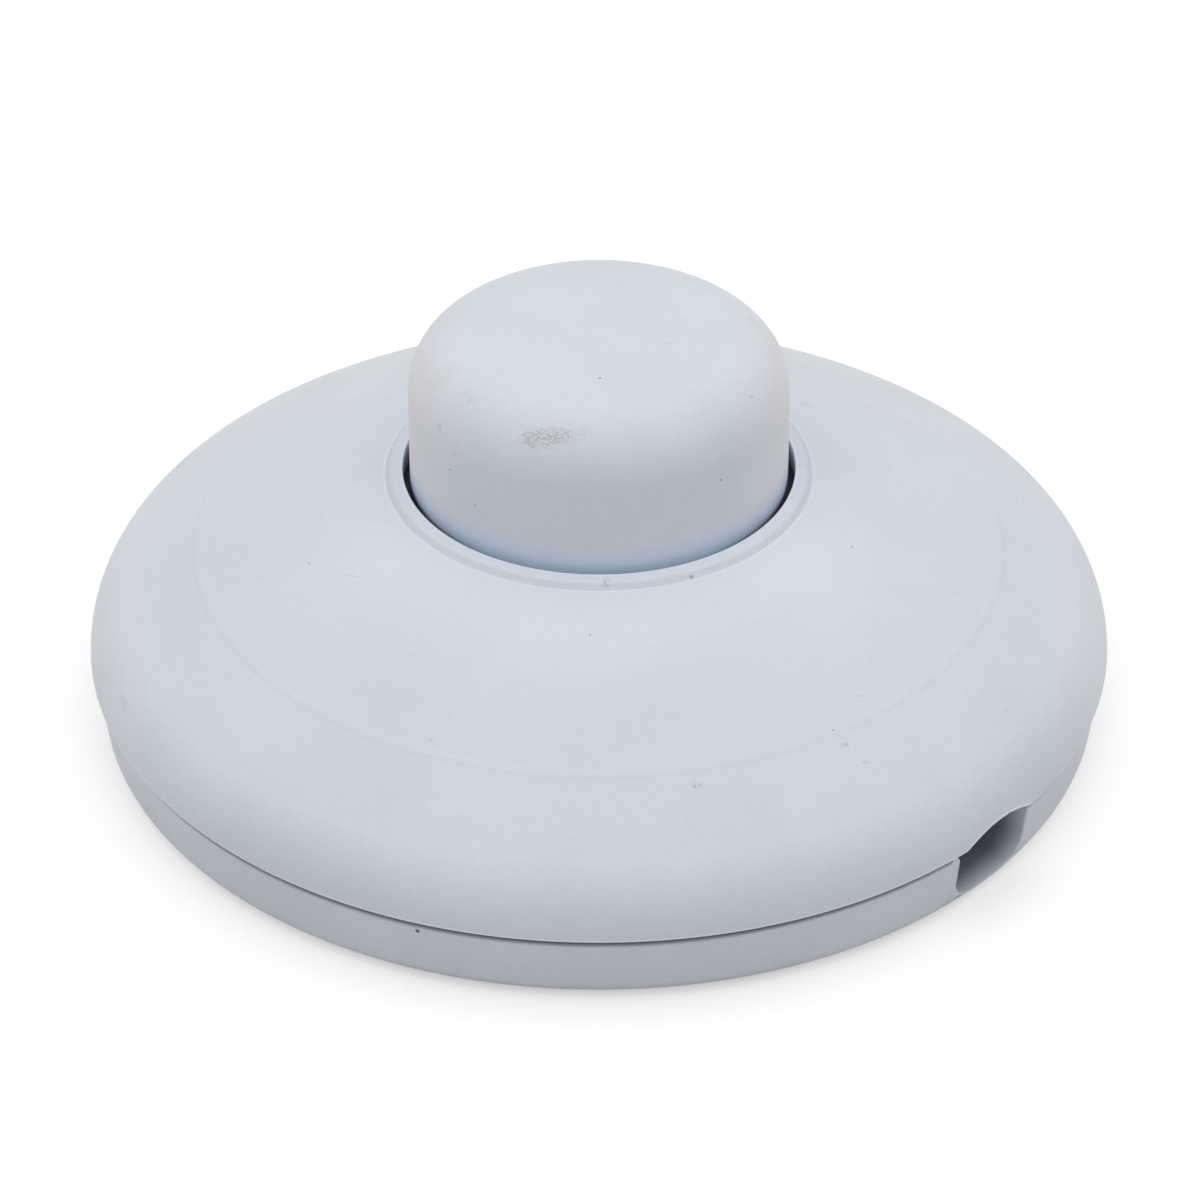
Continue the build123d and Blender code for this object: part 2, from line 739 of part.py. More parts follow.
# Detent leaf: flat ends in the pocket and a nose in one of the rotor's notches
with BuildPart() as detent_spring:
    nose_tip = rotor_radius - detent_notch_depth + leaf_nose_gap + leaf_thickness
    with BuildSketch(Plane.XY.offset(body_floor_top + leaf_pocket_clearance)):
        with BuildLine():
            Polyline(
                (-leaf_half_length, leaf_place),
                (-leaf_nose_half_width, leaf_place),
                (0, nose_tip),
                (leaf_nose_half_width, leaf_place),
                (leaf_half_length, leaf_place),
            )
        trace(line_width=leaf_thickness)
    extrude(amount=leaf_width)

# Live contacts: leaf with a riveted contact point, bent over to a flat terminal strip
with BuildPart() as live_inlet_contact:
    with BuildSketch(Plane.XZ) as contact_section:
        with BuildLine():
            Polyline(
                (contact_face, contact_leaf_top),
                (contact_face, contact_bottom),
                (contact_reach, contact_bottom),
                (contact_reach, contact_top),
                (contact_face + contact_thickness, contact_top),
                (contact_face + contact_thickness, contact_leaf_top),
                close=True,
            )
        make_face()
        bend = contact_section.vertices().group_by(Axis.Y)[0].sort_by(Axis.X)[0]
        fillet(bend, radius=contact_bend)
    extrude(amount=contact_width / 2, both=True)
    with BuildSketch(Plane.YZ.offset(contact_face)):
        with Locations((0, star_middle)):
            Circle(contact_rivet_radius)
    extrude(amount=-contact_rivet_height)
    with BuildSketch(Plane.XY.offset(contact_bottom)):
        with Locations((terminal_place, 0)):
            Circle(terminal_screw_radius + screw_slack)
    extrude(amount=contact_thickness, mode=Mode.SUBTRACT)

with BuildPart() as live_outlet_contact:
    mirror(live_inlet_contact.part, about=Plane.YZ)

# Neutral and earth blocks: drilled brass bars with two clamping screws each
with BuildPart() as neutral_block:
    with BuildSketch(Plane.XY.offset(floor_top)):
        with Locations((0, -block_place)):
            Rectangle(block_length, block_width)
    extrude(amount=block_height)
    chamfer(neutral_block.edges().group_by(Axis.Z)[-1], length=block_edge)
    with BuildSketch(Plane.YZ):
        with Locations((-block_place, floor_top + block_bore_height)):
            Circle(block_bore_radius)
    extrude(amount=block_length, both=True, mode=Mode.SUBTRACT)
    with BuildSketch(Plane.XY.offset(block_top)):
        with Locations((0, -block_place)):
            with GridLocations(block_screw_spacing, 0, 2, 1):
                Circle(block_screw_radius + thread_slack)
    extrude(amount=block_bore_height - block_height, mode=Mode.SUBTRACT)

with BuildPart() as earth_block:
    mirror(neutral_block.part, about=Plane.XZ)

# Cord clamps: bars with a shallow groove and a tooth that bites the cord's sheath
with BuildPart() as inlet_cord_clamp:
    with BuildSketch(Plane.XY.offset(clamp_bottom)):
        with Locations((clamp_place, 0)):
            SlotOverall(2 * clamp_half_length, clamp_width, rotation=90)
    extrude(amount=clamp_thickness)
    chamfer(inlet_cord_clamp.edges().group_by(Axis.Z)[-1], length=clamp_edge)
    with BuildSketch(Plane.YZ.offset(clamp_place)):
        with BuildLine():
            Polyline(
                (-clamp_groove_half_width, clamp_bottom),
                (0, clamp_bottom + clamp_groove_depth),
                (clamp_groove_half_width, clamp_bottom),
                close=True,
            )
        make_face()
    extrude(amount=clamp_width, both=True, mode=Mode.SUBTRACT)
    with BuildSketch(Plane.XY.offset(clamp_bottom + clamp_groove_depth - clamp_tooth_height)):
        with Locations((clamp_place, 0)):
            Rectangle(clamp_tooth_width, clamp_groove_half_width)
    extrude(amount=clamp_thickness / 2)
    with BuildSketch(Plane.XY.offset(clamp_bottom)):
        with Locations((clamp_place, 0)):
            with GridLocations(0, 2 * clamp_screw_place, 1, 2):
                Circle(small_screw_radius + screw_slack)
    extrude(amount=clamp_thickness, mode=Mode.SUBTRACT)

with BuildPart() as outlet_cord_clamp:
    mirror(inlet_cord_clamp.part, about=Plane.YZ)

# Rubber feet
with BuildPart() as rubber_feet:
    with BuildSketch():
        with PolarLocations(foot_circle_radius, foot_count, foot_angle):
            Circle(foot_radius)
    extrude(amount=foot_stand + foot_recess)
    chamfer(rubber_feet.edges().group_by(Axis.Z)[0], length=foot_edge)

# Fasteners
case_screw = make_screw(head_radius, head_height, case_screw_radius, case_screw_length)
clamp_screw = make_screw(head_radius, head_height, small_screw_radius, clamp_screw_length)
lug_screw = make_screw(head_radius, head_height, small_screw_radius, lug_screw_length)
block_screw = make_screw(
    block_head_radius, block_head_height, block_screw_radius, block_screw_length
)
terminal_screw = make_screw(
    head_radius,
    head_height,
    terminal_screw_radius,
    terminal_screw_length,
    washer=terminal_washer_radius,
    washer_height=terminal_washer_height,
)

with BuildPart() as case_screws:
    with Locations((0, 0, head_seat)):
        with PolarLocations(case_screw_circle_radius, case_screw_count, case_screw_angle):
            add(case_screw, rotation=(180, 0, 0))

with BuildPart() as switch_body_screws:
    with Locations((0, 0, lug_top)):
        with PolarLocations(lug_circle_radius, 2, lug_angle):
            add(lug_screw)

with BuildPart() as inlet_clamp_screws:
    with Locations((clamp_place, 0, clamp_top)):
        with GridLocations(0, 2 * clamp_screw_place, 1, 2):
            add(clamp_screw)

with BuildPart() as outlet_clamp_screws:
    with Locations((-clamp_place, 0, clamp_top)):
        with GridLocations(0, 2 * clamp_screw_place, 1, 2):
            add(clamp_screw)

with BuildPart() as neutral_screws:
    with Locations((0, -block_place, block_top)):
        with GridLocations(block_screw_spacing, 0, 2, 1):
            add(block_screw)

with BuildPart() as earth_screws:
    with Locations((0, block_place, block_top)):
        with GridLocations(block_screw_spacing, 0, 2, 1):
            add(block_screw)

with BuildPart() as live_inlet_screw:
    with Locations((terminal_place, 0, contact_top)):
        add(terminal_screw)

with BuildPart() as live_outlet_screw:
    with Locations((-terminal_place, 0, contact_top)):
        add(terminal_screw)

# Labels and files
pieces = {
    "base_shell": base_shell,
    "top_cover": top_cover,
    "push_button": push_button,
    "drive_collar": drive_collar,
    "contact_rotor": contact_rotor,
    "contact_star": contact_star,
    "switch_body": switch_body,
    "switch_body_screws": switch_body_screws,
    "button_spring": button_spring,
    "detent_spring": detent_spring,
    "live_inlet_contact": live_inlet_contact,
    "live_outlet_contact": live_outlet_contact,
    "live_inlet_screw": live_inlet_screw,
    "live_outlet_screw": live_outlet_screw,
    "neutral_block": neutral_block,
    "neutral_screws": neutral_screws,
    "earth_block": earth_block,
    "earth_screws": earth_screws,
    "inlet_cord_clamp": inlet_cord_clamp,
    "inlet_clamp_screws": inlet_clamp_screws,
    "outlet_cord_clamp": outlet_cord_clamp,
    "outlet_clamp_screws": outlet_clamp_screws,
    "case_screws": case_screws,
    "rubber_feet": rubber_feet,
}
os.makedirs("parts", exist_ok=True)
for name, piece in pieces.items():
    piece.part.label = name
    export_step(piece.part, f"parts/{name}.step")
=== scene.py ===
import bpy
import math
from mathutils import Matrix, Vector


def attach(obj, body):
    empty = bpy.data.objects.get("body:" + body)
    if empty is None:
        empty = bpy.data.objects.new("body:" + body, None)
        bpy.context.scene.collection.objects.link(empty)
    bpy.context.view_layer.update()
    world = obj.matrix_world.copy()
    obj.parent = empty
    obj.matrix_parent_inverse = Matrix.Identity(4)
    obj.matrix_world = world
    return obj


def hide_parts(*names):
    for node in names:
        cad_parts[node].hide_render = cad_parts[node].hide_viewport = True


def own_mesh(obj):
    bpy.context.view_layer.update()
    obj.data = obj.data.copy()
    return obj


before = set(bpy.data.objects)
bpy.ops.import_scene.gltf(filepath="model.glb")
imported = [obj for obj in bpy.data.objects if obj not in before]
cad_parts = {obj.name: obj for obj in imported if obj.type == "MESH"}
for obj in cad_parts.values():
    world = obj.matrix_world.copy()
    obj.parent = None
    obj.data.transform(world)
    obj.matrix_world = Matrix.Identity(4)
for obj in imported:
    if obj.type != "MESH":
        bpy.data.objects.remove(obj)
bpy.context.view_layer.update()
bpy.ops.object.select_all(action="DESELECT")
print("frame loaded:", len(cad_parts), "nodes")

mm = 0.001
clear = 1.0  # how far a cutter stands past what it cuts
mergeGap = 0.002 * mm  # vertices nearer than this are one


# small helpers for modelling by hand

def pick(piece):  # the only selected object
    bpy.ops.object.select_all(action="DESELECT")
    piece.select_set(True)
    bpy.context.view_layer.objects.active = piece


def arc(centre, radius, start, end, steps):  # points in (radius, height), angles in degrees
    turns = [math.radians(start + (end - start) * i / steps) for i in range(steps + 1)]
    return [(centre[0] + radius * math.cos(t), centre[1] + radius * math.sin(t)) for t in turns]


def drawLine(name, points, across=False):
    # a plane merged to one vertex, then extruded from point to point
    bpy.ops.object.select_all(action="DESELECT")
    bpy.ops.mesh.primitive_plane_add(size=mm, location=(0, 0, 0))
    piece = bpy.context.object
    piece.name = piece.data.name = name
    bpy.ops.object.mode_set(mode="EDIT")
    bpy.ops.mesh.select_mode(type="VERT")
    bpy.ops.mesh.merge(type="CENTER")

    def spot(p):
        return Vector((0, p[0], p[1])) * mm if across else Vector((p[0], 0, p[1])) * mm

    bpy.ops.transform.translate(value=spot(points[0]))
    for a, b in zip(points, points[1:]):
        bpy.ops.mesh.extrude_vertices_move(TRANSFORM_OT_translate={"value": spot(b) - spot(a)})
    bpy.ops.mesh.select_all(action="SELECT")
    bpy.ops.mesh.remove_doubles(threshold=mergeGap)
    bpy.ops.object.mode_set(mode="OBJECT")
    return piece


def spinLine(name, points, steps):
    piece = drawLine(name, points)
    bpy.ops.object.mode_set(mode="EDIT")
    bpy.ops.mesh.select_all(action="SELECT")
    bpy.ops.mesh.spin(steps=steps, angle=2 * math.pi, center=(0, 0, 0), axis=(0, 0, 1))
    bpy.ops.mesh.select_all(action="SELECT")
    bpy.ops.mesh.remove_doubles(threshold=mergeGap)
    bpy.ops.mesh.normals_make_consistent(inside=False)
    bpy.ops.object.mode_set(mode="OBJECT")
    return piece


def block(low, high):  # box between two corners
    middle = [(a + b) / 2 * mm for a, b in zip(low, high)]
    size = [(b - a) * mm for a, b in zip(low, high)]
    bpy.ops.object.select_all(action="DESELECT")
    bpy.ops.mesh.primitive_cube_add(size=1, location=middle)
    bpy.ops.transform.resize(value=size)
    bpy.ops.object.transform_apply(location=True, rotation=True, scale=True)
    return bpy.context.object


def rod(x, y, radius, bottom, top, sides=48):  # upright cylinder
    bpy.ops.object.select_all(action="DESELECT")
    bpy.ops.mesh.primitive_cylinder_add(
        vertices=sides, radius=radius * mm, depth=(top - bottom) * mm,
        location=(x * mm, y * mm, (top + bottom) / 2 * mm),
    )
    bpy.ops.object.transform_apply(location=True, rotation=True, scale=True)
    return bpy.context.object


def tunnel(name, outline, start, end):  # outline in (y, z), drawn out along X
    cutter = drawLine(name, outline + [outline[0]], across=True)
    bpy.ops.object.mode_set(mode="EDIT")
    bpy.ops.mesh.select_all(action="SELECT")
    bpy.ops.mesh.edge_face_add()
    bpy.ops.transform.translate(value=(start * mm, 0, 0))
    bpy.ops.mesh.extrude_region_move(TRANSFORM_OT_translate={"value": ((end - start) * mm, 0, 0)})
    bpy.ops.mesh.select_all(action="SELECT")
    bpy.ops.mesh.normals_make_consistent(inside=False)
    bpy.ops.object.mode_set(mode="OBJECT")
    return cutter


def joinAll(parts):
    bpy.ops.object.select_all(action="DESELECT")
    for part in parts:
        part.select_set(True)
    bpy.context.view_layer.objects.active = parts[0]
    if len(parts) > 1:
        bpy.ops.object.join()
    return bpy.context.object


def combine(piece, other, operation):  # boolean, applied at once
    pick(piece)
    bpy.ops.object.modifier_add(type="BOOLEAN")
    change = piece.modifiers[-1]
    change.operation = operation
    change.solver = "EXACT"
    change.object = other
    bpy.ops.object.modifier_apply(modifier=change.name)
    bpy.data.objects.remove(other)


def softenEdges(piece, test, width, segments=2, sharp=50, merge=0.0):
    # bevels the sharp edges whose middle passes the test
    pick(piece)
    bpy.ops.object.mode_set(mode="EDIT")
    bpy.ops.mesh.select_mode(type="EDGE")
    bpy.ops.mesh.select_all(action="DESELECT")
    bpy.ops.mesh.edges_select_sharp(sharpness=math.radians(sharp))
    bpy.ops.object.mode_set(mode="OBJECT")
    mesh = piece.data
    keep = []
    for edge in mesh.edges:
        a, b = (mesh.vertices[i].co for i in edge.vertices)
        keep.append(edge.select and test((a + b) / 2 / mm))
    for part in (mesh.vertices, mesh.edges, mesh.polygons):
        part.foreach_set("select", [False] * len(part))
    mesh.edges.foreach_set("select", keep)
    bpy.ops.object.mode_set(mode="EDIT")
    if merge:
        bpy.ops.mesh.remove_doubles(threshold=merge * mm)
    bpy.ops.mesh.bevel(offset=width * mm, segments=segments, affect="EDGES", clamp_overlap=False)
    bpy.ops.mesh.select_all(action="SELECT")
    bpy.ops.mesh.remove_doubles(threshold=mergeGap)
    bpy.ops.object.mode_set(mode="OBJECT")
    return sum(keep)


def smoothOff(piece, angle=35):
    pick(piece)
    bpy.ops.object.mode_set(mode="EDIT")
    bpy.ops.mesh.select_all(action="SELECT")
    bpy.ops.mesh.normals_make_consistent(inside=False)
    bpy.ops.object.mode_set(mode="OBJECT")
    bpy.ops.object.shade_smooth_by_angle(angle=math.radians(angle))
    print("made", piece.name, len(piece.data.polygons), "faces")


# top cover: shoulder, dome, lip, guide collar, stiffening ring, bosses, arches

cover = {
    "radius": 50.0, "rim": 7.6, "wall": 2.0, "rimEdge": 0.18, "rimThin": 0.1,
    "shoulder": 7.9, "shoulderTurn": 55.7, "dome": 89.5,
    "hole": 18.95, "lipWidth": 1.7, "lipRise": 0.79, "lipRound": 0.42,
    "lipSteep": 68, "lipGentle": 16, "lipEdge": 0.14, "lipSteps": 24,
    "collarIn": 25.6, "collarOut": 27.2, "collarFoot": 14.0,
    "keyIn": 24.6, "keyWidth": 3.0, "keyTop": 23.4,
    "ringIn": 38.4, "ringOut": 40.0, "ringDepth": 2.4,
    "bossCircle": 38.0, "boss": 3.6, "bossFoot": 7.2, "bossSpare": 6.0, "pilot": 1.5, "pilotTop": 14.2,
    "archRadius": 10.2, "archCrown": 8.8, "archCorner": 0.4, "archSide": 7.25, "archEnd": 52.0,
    "archEdge": 0.13, "archMerge": 0.12, "archOutside": 49.2, "archHalf": 8.2, "archAbove": 0.02, "steps": 288,
}
caseScrewAngles = (90, 210, 330)


def domePoint(radius, inset=0.0):
    reach = cover["dome"] - inset
    return (radius, domeCentre[1] + math.sqrt(reach**2 - (radius - domeCentre[0]) ** 2))


def domeTurn(radius, inset=0.0):
    return math.degrees(math.acos((radius - domeCentre[0]) / (cover["dome"] - inset)))


shoulderCentre = (cover["radius"] - cover["shoulder"], cover["rim"])
leanBack = math.radians(90 - cover["shoulderTurn"])
domeCentre = (
    shoulderCentre[0] - (cover["dome"] - cover["shoulder"]) * math.sin(leanBack),
    shoulderCentre[1] - (cover["dome"] - cover["shoulder"]) * math.cos(leanBack),
)


def domeRun(start, end, inset, steps):  # along the dome between two radii
    return arc(domeCentre, cover["dome"] - inset, domeTurn(start, inset), domeTurn(end, inset), steps)


def lipLine():
    # steep at its foot on the dome, then rounding over to a gentle slope up to the hole's edge
    c = cover
    foot = domePoint(c["hole"] + c["lipWidth"])
    step = c["lipWidth"] / c["lipSteps"]
    heights = [0.0]
    for i in range(c["lipSteps"]):
        along = min((i + 0.5) * step / c["lipRound"], 1.0)
        slope = c["lipSteep"] + (c["lipGentle"] - c["lipSteep"]) * along
        heights.append(heights[-1] + step * math.tan(math.radians(slope)))
    scale = c["lipRise"] / heights[-1]
    line = [(foot[0] - i * step, foot[1] + h * scale) for i, h in enumerate(heights)]
    edge = c["lipEdge"]
    keep = [p for p in line if p[0] > c["hole"] + edge]
    return keep + arc((c["hole"] + edge, keep[-1][1] - edge), edge, 90, 180, 5)


def shoulderEnd(inset):  # radius at which the shoulder hands over to the dome
    turn = math.radians(cover["shoulderTurn"])
    return shoulderCentre[0] + (cover["shoulder"] - inset) * math.cos(turn)


def makeCover():
    c = cover
    edge = c["rimEdge"]
    rimStart = math.degrees(math.asin(edge / c["shoulder"]))
    line = [(c["radius"] - c["wall"] + c["rimThin"], c["rim"])]
    line += arc((c["radius"] - edge, c["rim"] + edge), edge, -90, -8, 4)
    line += arc(shoulderCentre, c["shoulder"], rimStart, c["shoulderTurn"], 22)
    foot = c["hole"] + c["lipWidth"]
    line += domeRun(shoulderEnd(0), foot, 0, 34)[1:-1]
    line += lipLine()
    line += domeRun(c["hole"], c["collarIn"], c["wall"], 6)
    line += [(c["collarIn"], c["collarFoot"]), (c["collarOut"], c["collarFoot"])]
    line += domeRun(c["collarOut"], c["ringIn"], c["wall"], 10)
    ringFoot = domePoint((c["ringIn"] + c["ringOut"]) / 2, c["wall"])[1] - c["ringDepth"]
    line += [(c["ringIn"], ringFoot), (c["ringOut"], ringFoot)]
    line += domeRun(c["ringOut"], shoulderEnd(c["wall"]), c["wall"], 5)
    line += arc(shoulderCentre, c["shoulder"] - c["wall"], c["shoulderTurn"], 1, 10)[1:]
    line += [line[0]]
    piece = spinLine("coverShell", line, c["steps"])

    keys = []
    for side in (1, -1):
        near, far = sorted((side * c["keyIn"], side * (c["collarIn"] + c["collarOut"]) / 2))
        half = c["keyWidth"] / 2
        keys.append(block((-half, near, c["collarFoot"]), (half, far, c["keyTop"])))
    combine(piece, joinAll(keys), "UNION")

    bosses, pilots = [], []
    lean = math.asin((c["bossCircle"] - domeCentre[0]) / c["dome"])
    top = domePoint(c["bossCircle"], c["wall"] / 2)[1]
    for angle in caseScrewAngles:
        out = Vector((math.cos(math.radians(angle)), math.sin(math.radians(angle)), 0))
        x, y = (out * c["bossCircle"])[:2]
        boss = rod(x, y, c["boss"], c["bossFoot"], top + c["bossSpare"])
        bpy.ops.object.mode_set(mode="EDIT")
        bpy.ops.mesh.select_all(action="SELECT")
        bpy.ops.mesh.bisect(
            plane_co=Vector((x, y, top)) * mm,
            plane_no=out * math.sin(lean) + Vector((0, 0, math.cos(lean))),
            clear_outer=True, use_fill=True,
        )
        bpy.ops.object.mode_set(mode="OBJECT")
        bosses.append(boss)
        pilots.append(rod(x, y, c["pilot"], c["bossFoot"] - clear, c["pilotTop"], 32))
    combine(piece, joinAll(bosses), "UNION")
    combine(piece, joinAll(pilots), "DIFFERENCE")

    # arch over both cord mouths, with rounded feet
    centre, r, f = c["archCrown"] - c["archRadius"], c["archRadius"], c["archCorner"]
    rise = c["rim"] + f - centre
    reach = math.sqrt((r + f) ** 2 - rise**2)
    touch = math.degrees(math.atan2(rise, reach))
    half = arc((reach, c["rim"] + f), f, -90, touch - 180, 5)
    half += arc((0, centre), r, touch, 90, 16)[1:]
    outline = [(c["archSide"], 0), (c["archSide"], c["rim"])] + half
    outline += [(-p[0], p[1]) for p in reversed(outline[:-1])]
    combine(piece, tunnel("archCutter", outline, -c["archEnd"], c["archEnd"]), "DIFFERENCE")

    def onArch(p):
        outside = math.hypot(p[0], p[1]) > c["archOutside"] and abs(p[1]) < c["archHalf"]
        return outside and p[2] > c["rim"] + c["archAbove"]

    print("arch edges:", softenEdges(piece, onArch, c["archEdge"], 2, 50, c["archMerge"]))
    smoothOff(piece)
    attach(piece, "housing")
    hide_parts("top_cover")
    return piece


# push button: deep cap, flange under the dome, skirt and keyways

button = {
    "radius": 18.27, "top": 41.5, "edge": 5.8, "wall": 2.0, "innerEdge": 2.4,
    "flange": 25.3, "flangeInset": 2.3, "flangeThick": 1.8, "skirtFoot": 17.5, "skirtWall": 2.0,
    "ringIn": 11.1, "ringOut": 12.0, "ringDepth": 2.0,
    "keywayIn": 24.3, "keywayOut": 27.3, "keywayTop": 26.0, "keywayWidth": 3.6,
    "topShares": (0.4, 0.75), "sideHeights": (31.5, 27.5), "softEdge": 0.15, "steps": 256,
}


def makeButton():
    b = button
    bore, skirtIn, soft = b["radius"] - b["wall"], b["flange"] - b["skirtWall"], b["softEdge"]
    under = b["top"] - b["wall"]
    back = b["flangeInset"] + b["flangeThick"]
    flat = b["radius"] - b["edge"]
    line = [(0, b["top"])] + [(flat * share, b["top"]) for share in b["topShares"]]
    line += arc((flat, b["top"] - b["edge"]), b["edge"], 90, 0, 26)
    line += [(b["radius"], height) for height in b["sideHeights"]]
    line += domeRun(b["radius"], b["flange"] - soft, b["flangeInset"], 10)
    edgeTop = domePoint(b["flange"], b["flangeInset"])[1]
    line += [(b["flange"], edgeTop - soft), (b["flange"], b["skirtFoot"] + soft)]
    line += [(b["flange"] - soft, b["skirtFoot"]), (skirtIn + soft, b["skirtFoot"])]
    line += [(skirtIn, b["skirtFoot"] + soft)]
    line += domeRun(skirtIn, bore, back, 8)
    line += arc((bore - b["innerEdge"], under - b["innerEdge"]), b["innerEdge"], 0, 90, 8)
    line += [(b["ringOut"], under), (b["ringOut"], under - b["ringDepth"])]
    line += [(b["ringIn"], under - b["ringDepth"]), (b["ringIn"], under), (0, under)]
    piece = spinLine("buttonCap", line, b["steps"])
    slots = []
    for side in (1, -1):
        near, far = sorted((side * b["keywayIn"], side * b["keywayOut"]))
        half = b["keywayWidth"] / 2
        slots.append(block((-half, near, b["skirtFoot"] - clear), (half, far, b["keywayTop"])))
    combine(piece, joinAll(slots), "DIFFERENCE")
    smoothOff(piece)
    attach(piece, "button")
    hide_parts("push_button")
    return piece


# base shell: dished floor, spigot, cord channels, pillars, seats and cradles

base = {
    "bottom": 0.5, "floor": 2.5, "flat": 30.0, "foot": 48.75, "shoulder": 49.55, "rim": 7.25,
    "footRound": 1.7, "rimRound": 0.55, "spigot": 47.4, "spigotIn": 46.0, "spigotTop": 9.5, "leadIn": 0.4,
    "bodyRingIn": 14.7, "bodyRingOut": 15.9, "bodyRingTop": 3.7, "sink": 0.3,
    "channelStart": 43.55, "channelEnd": 53.0, "channelHalf": 5.05, "channelFloor": 1.35, "channelRound": 2.4,
    "channelFlare": 1.0, "channelTopHalf": 7.25, "channelEdge": 0.22, "channelMerge": 0.15,
    "mouthOutside": 47.8, "mouthHalf": 6.3, "mouthAbove": 0.05, "cheekHalf": 6.85, "cheekEnd": 46.7,
    "screwCircle": 38.0, "pillar": 5.0, "pillarTop": 7.2, "screwHole": 1.7,
    "counterbore": 3.6, "counterboreTop": 4.0,
    "lugCircle": 18.5, "lug": 3.2, "lugTop": 4.5, "lugPilotFoot": 2.55, "smallPilot": 1.3,
    "seatStart": 15.3, "seatEnd": 31.2, "seatHalf": 4.7, "seatTop": 5.5,
    "terminal": 25.5, "terminalHole": 1.75, "terminalFoot": 2.65,
    "cradlePlace": 23.0, "cradleLong": 22.7, "cradleWide": 9.2, "cradleWall": 1.2,
    "cradleSink": 0.15, "cradleSlot": 4.2, "cradleTop": 7.0,
    "postX": 37.0, "postY": 8.6, "post": 3.2, "postTop": 8.0, "postPilotFoot": 3.95,
    "ribSpacing": 1.6, "ribWidth": 1.0, "ribHalf": 4.0, "ribTop": 3.5,
    "footCircle": 40.0, "recess": 4.5, "recessTop": 1.5, "steps": 288,
}
lugAngles, footAngles = (45, 225), (30, 150, 270)


def roundCorner(before, corner, after, radius, steps):  # tangent arc between two straight runs
    corner = Vector(corner)
    a, b = (Vector(before) - corner).normalized(), (Vector(after) - corner).normalized()
    half = a.angle(b) / 2
    centre = corner + (a + b).normalized() * radius / math.sin(half)
    start = corner + a * radius / math.tan(half) - centre
    end = corner + b * radius / math.tan(half) - centre
    swing = start.angle_signed(end)
    points = []
    for i in range(steps + 1):
        t = -swing * i / steps
        points.append((
            centre.x + start.x * math.cos(t) - start.y * math.sin(t),
            centre.y + start.x * math.sin(t) + start.y * math.cos(t),
        ))
    return points


def aroundAxis(circle, angles):  # places at one radius
    return [(circle * math.cos(math.radians(t)), circle * math.sin(math.radians(t))) for t in angles]


def cradle(side):
    # a block with its top inset by the wall and pushed down to the floor, slotted at both ends
    b = base
    long, wide, sink = b["cradleLong"] / 2, b["cradleWide"] / 2, b["floor"] - b["sink"]
    y = side * b["cradlePlace"]
    piece = block((-long, y - wide, sink), (long, y + wide, b["cradleTop"]))
    bpy.ops.object.mode_set(mode="EDIT")
    bpy.ops.mesh.select_mode(type="FACE")
    bpy.ops.object.mode_set(mode="OBJECT")
    for face in piece.data.polygons:
        face.select = face.normal.z > 0.9  # the top
    bpy.ops.object.mode_set(mode="EDIT")
    bpy.ops.mesh.inset(thickness=b["cradleWall"] * mm)
    drop = b["floor"] - b["cradleSink"] - b["cradleTop"]
    bpy.ops.mesh.extrude_region_move(TRANSFORM_OT_translate={"value": (0, 0, drop * mm)})
    bpy.ops.mesh.select_all(action="SELECT")
    bpy.ops.mesh.normals_make_consistent(inside=False)
    bpy.ops.object.mode_set(mode="OBJECT")
    slot = b["cradleSlot"] / 2
    cutter = block((-long - clear, y - slot, b["floor"]), (long + clear, y + slot, b["cradleTop"] + clear))
    combine(piece, cutter, "DIFFERENCE")
    return piece


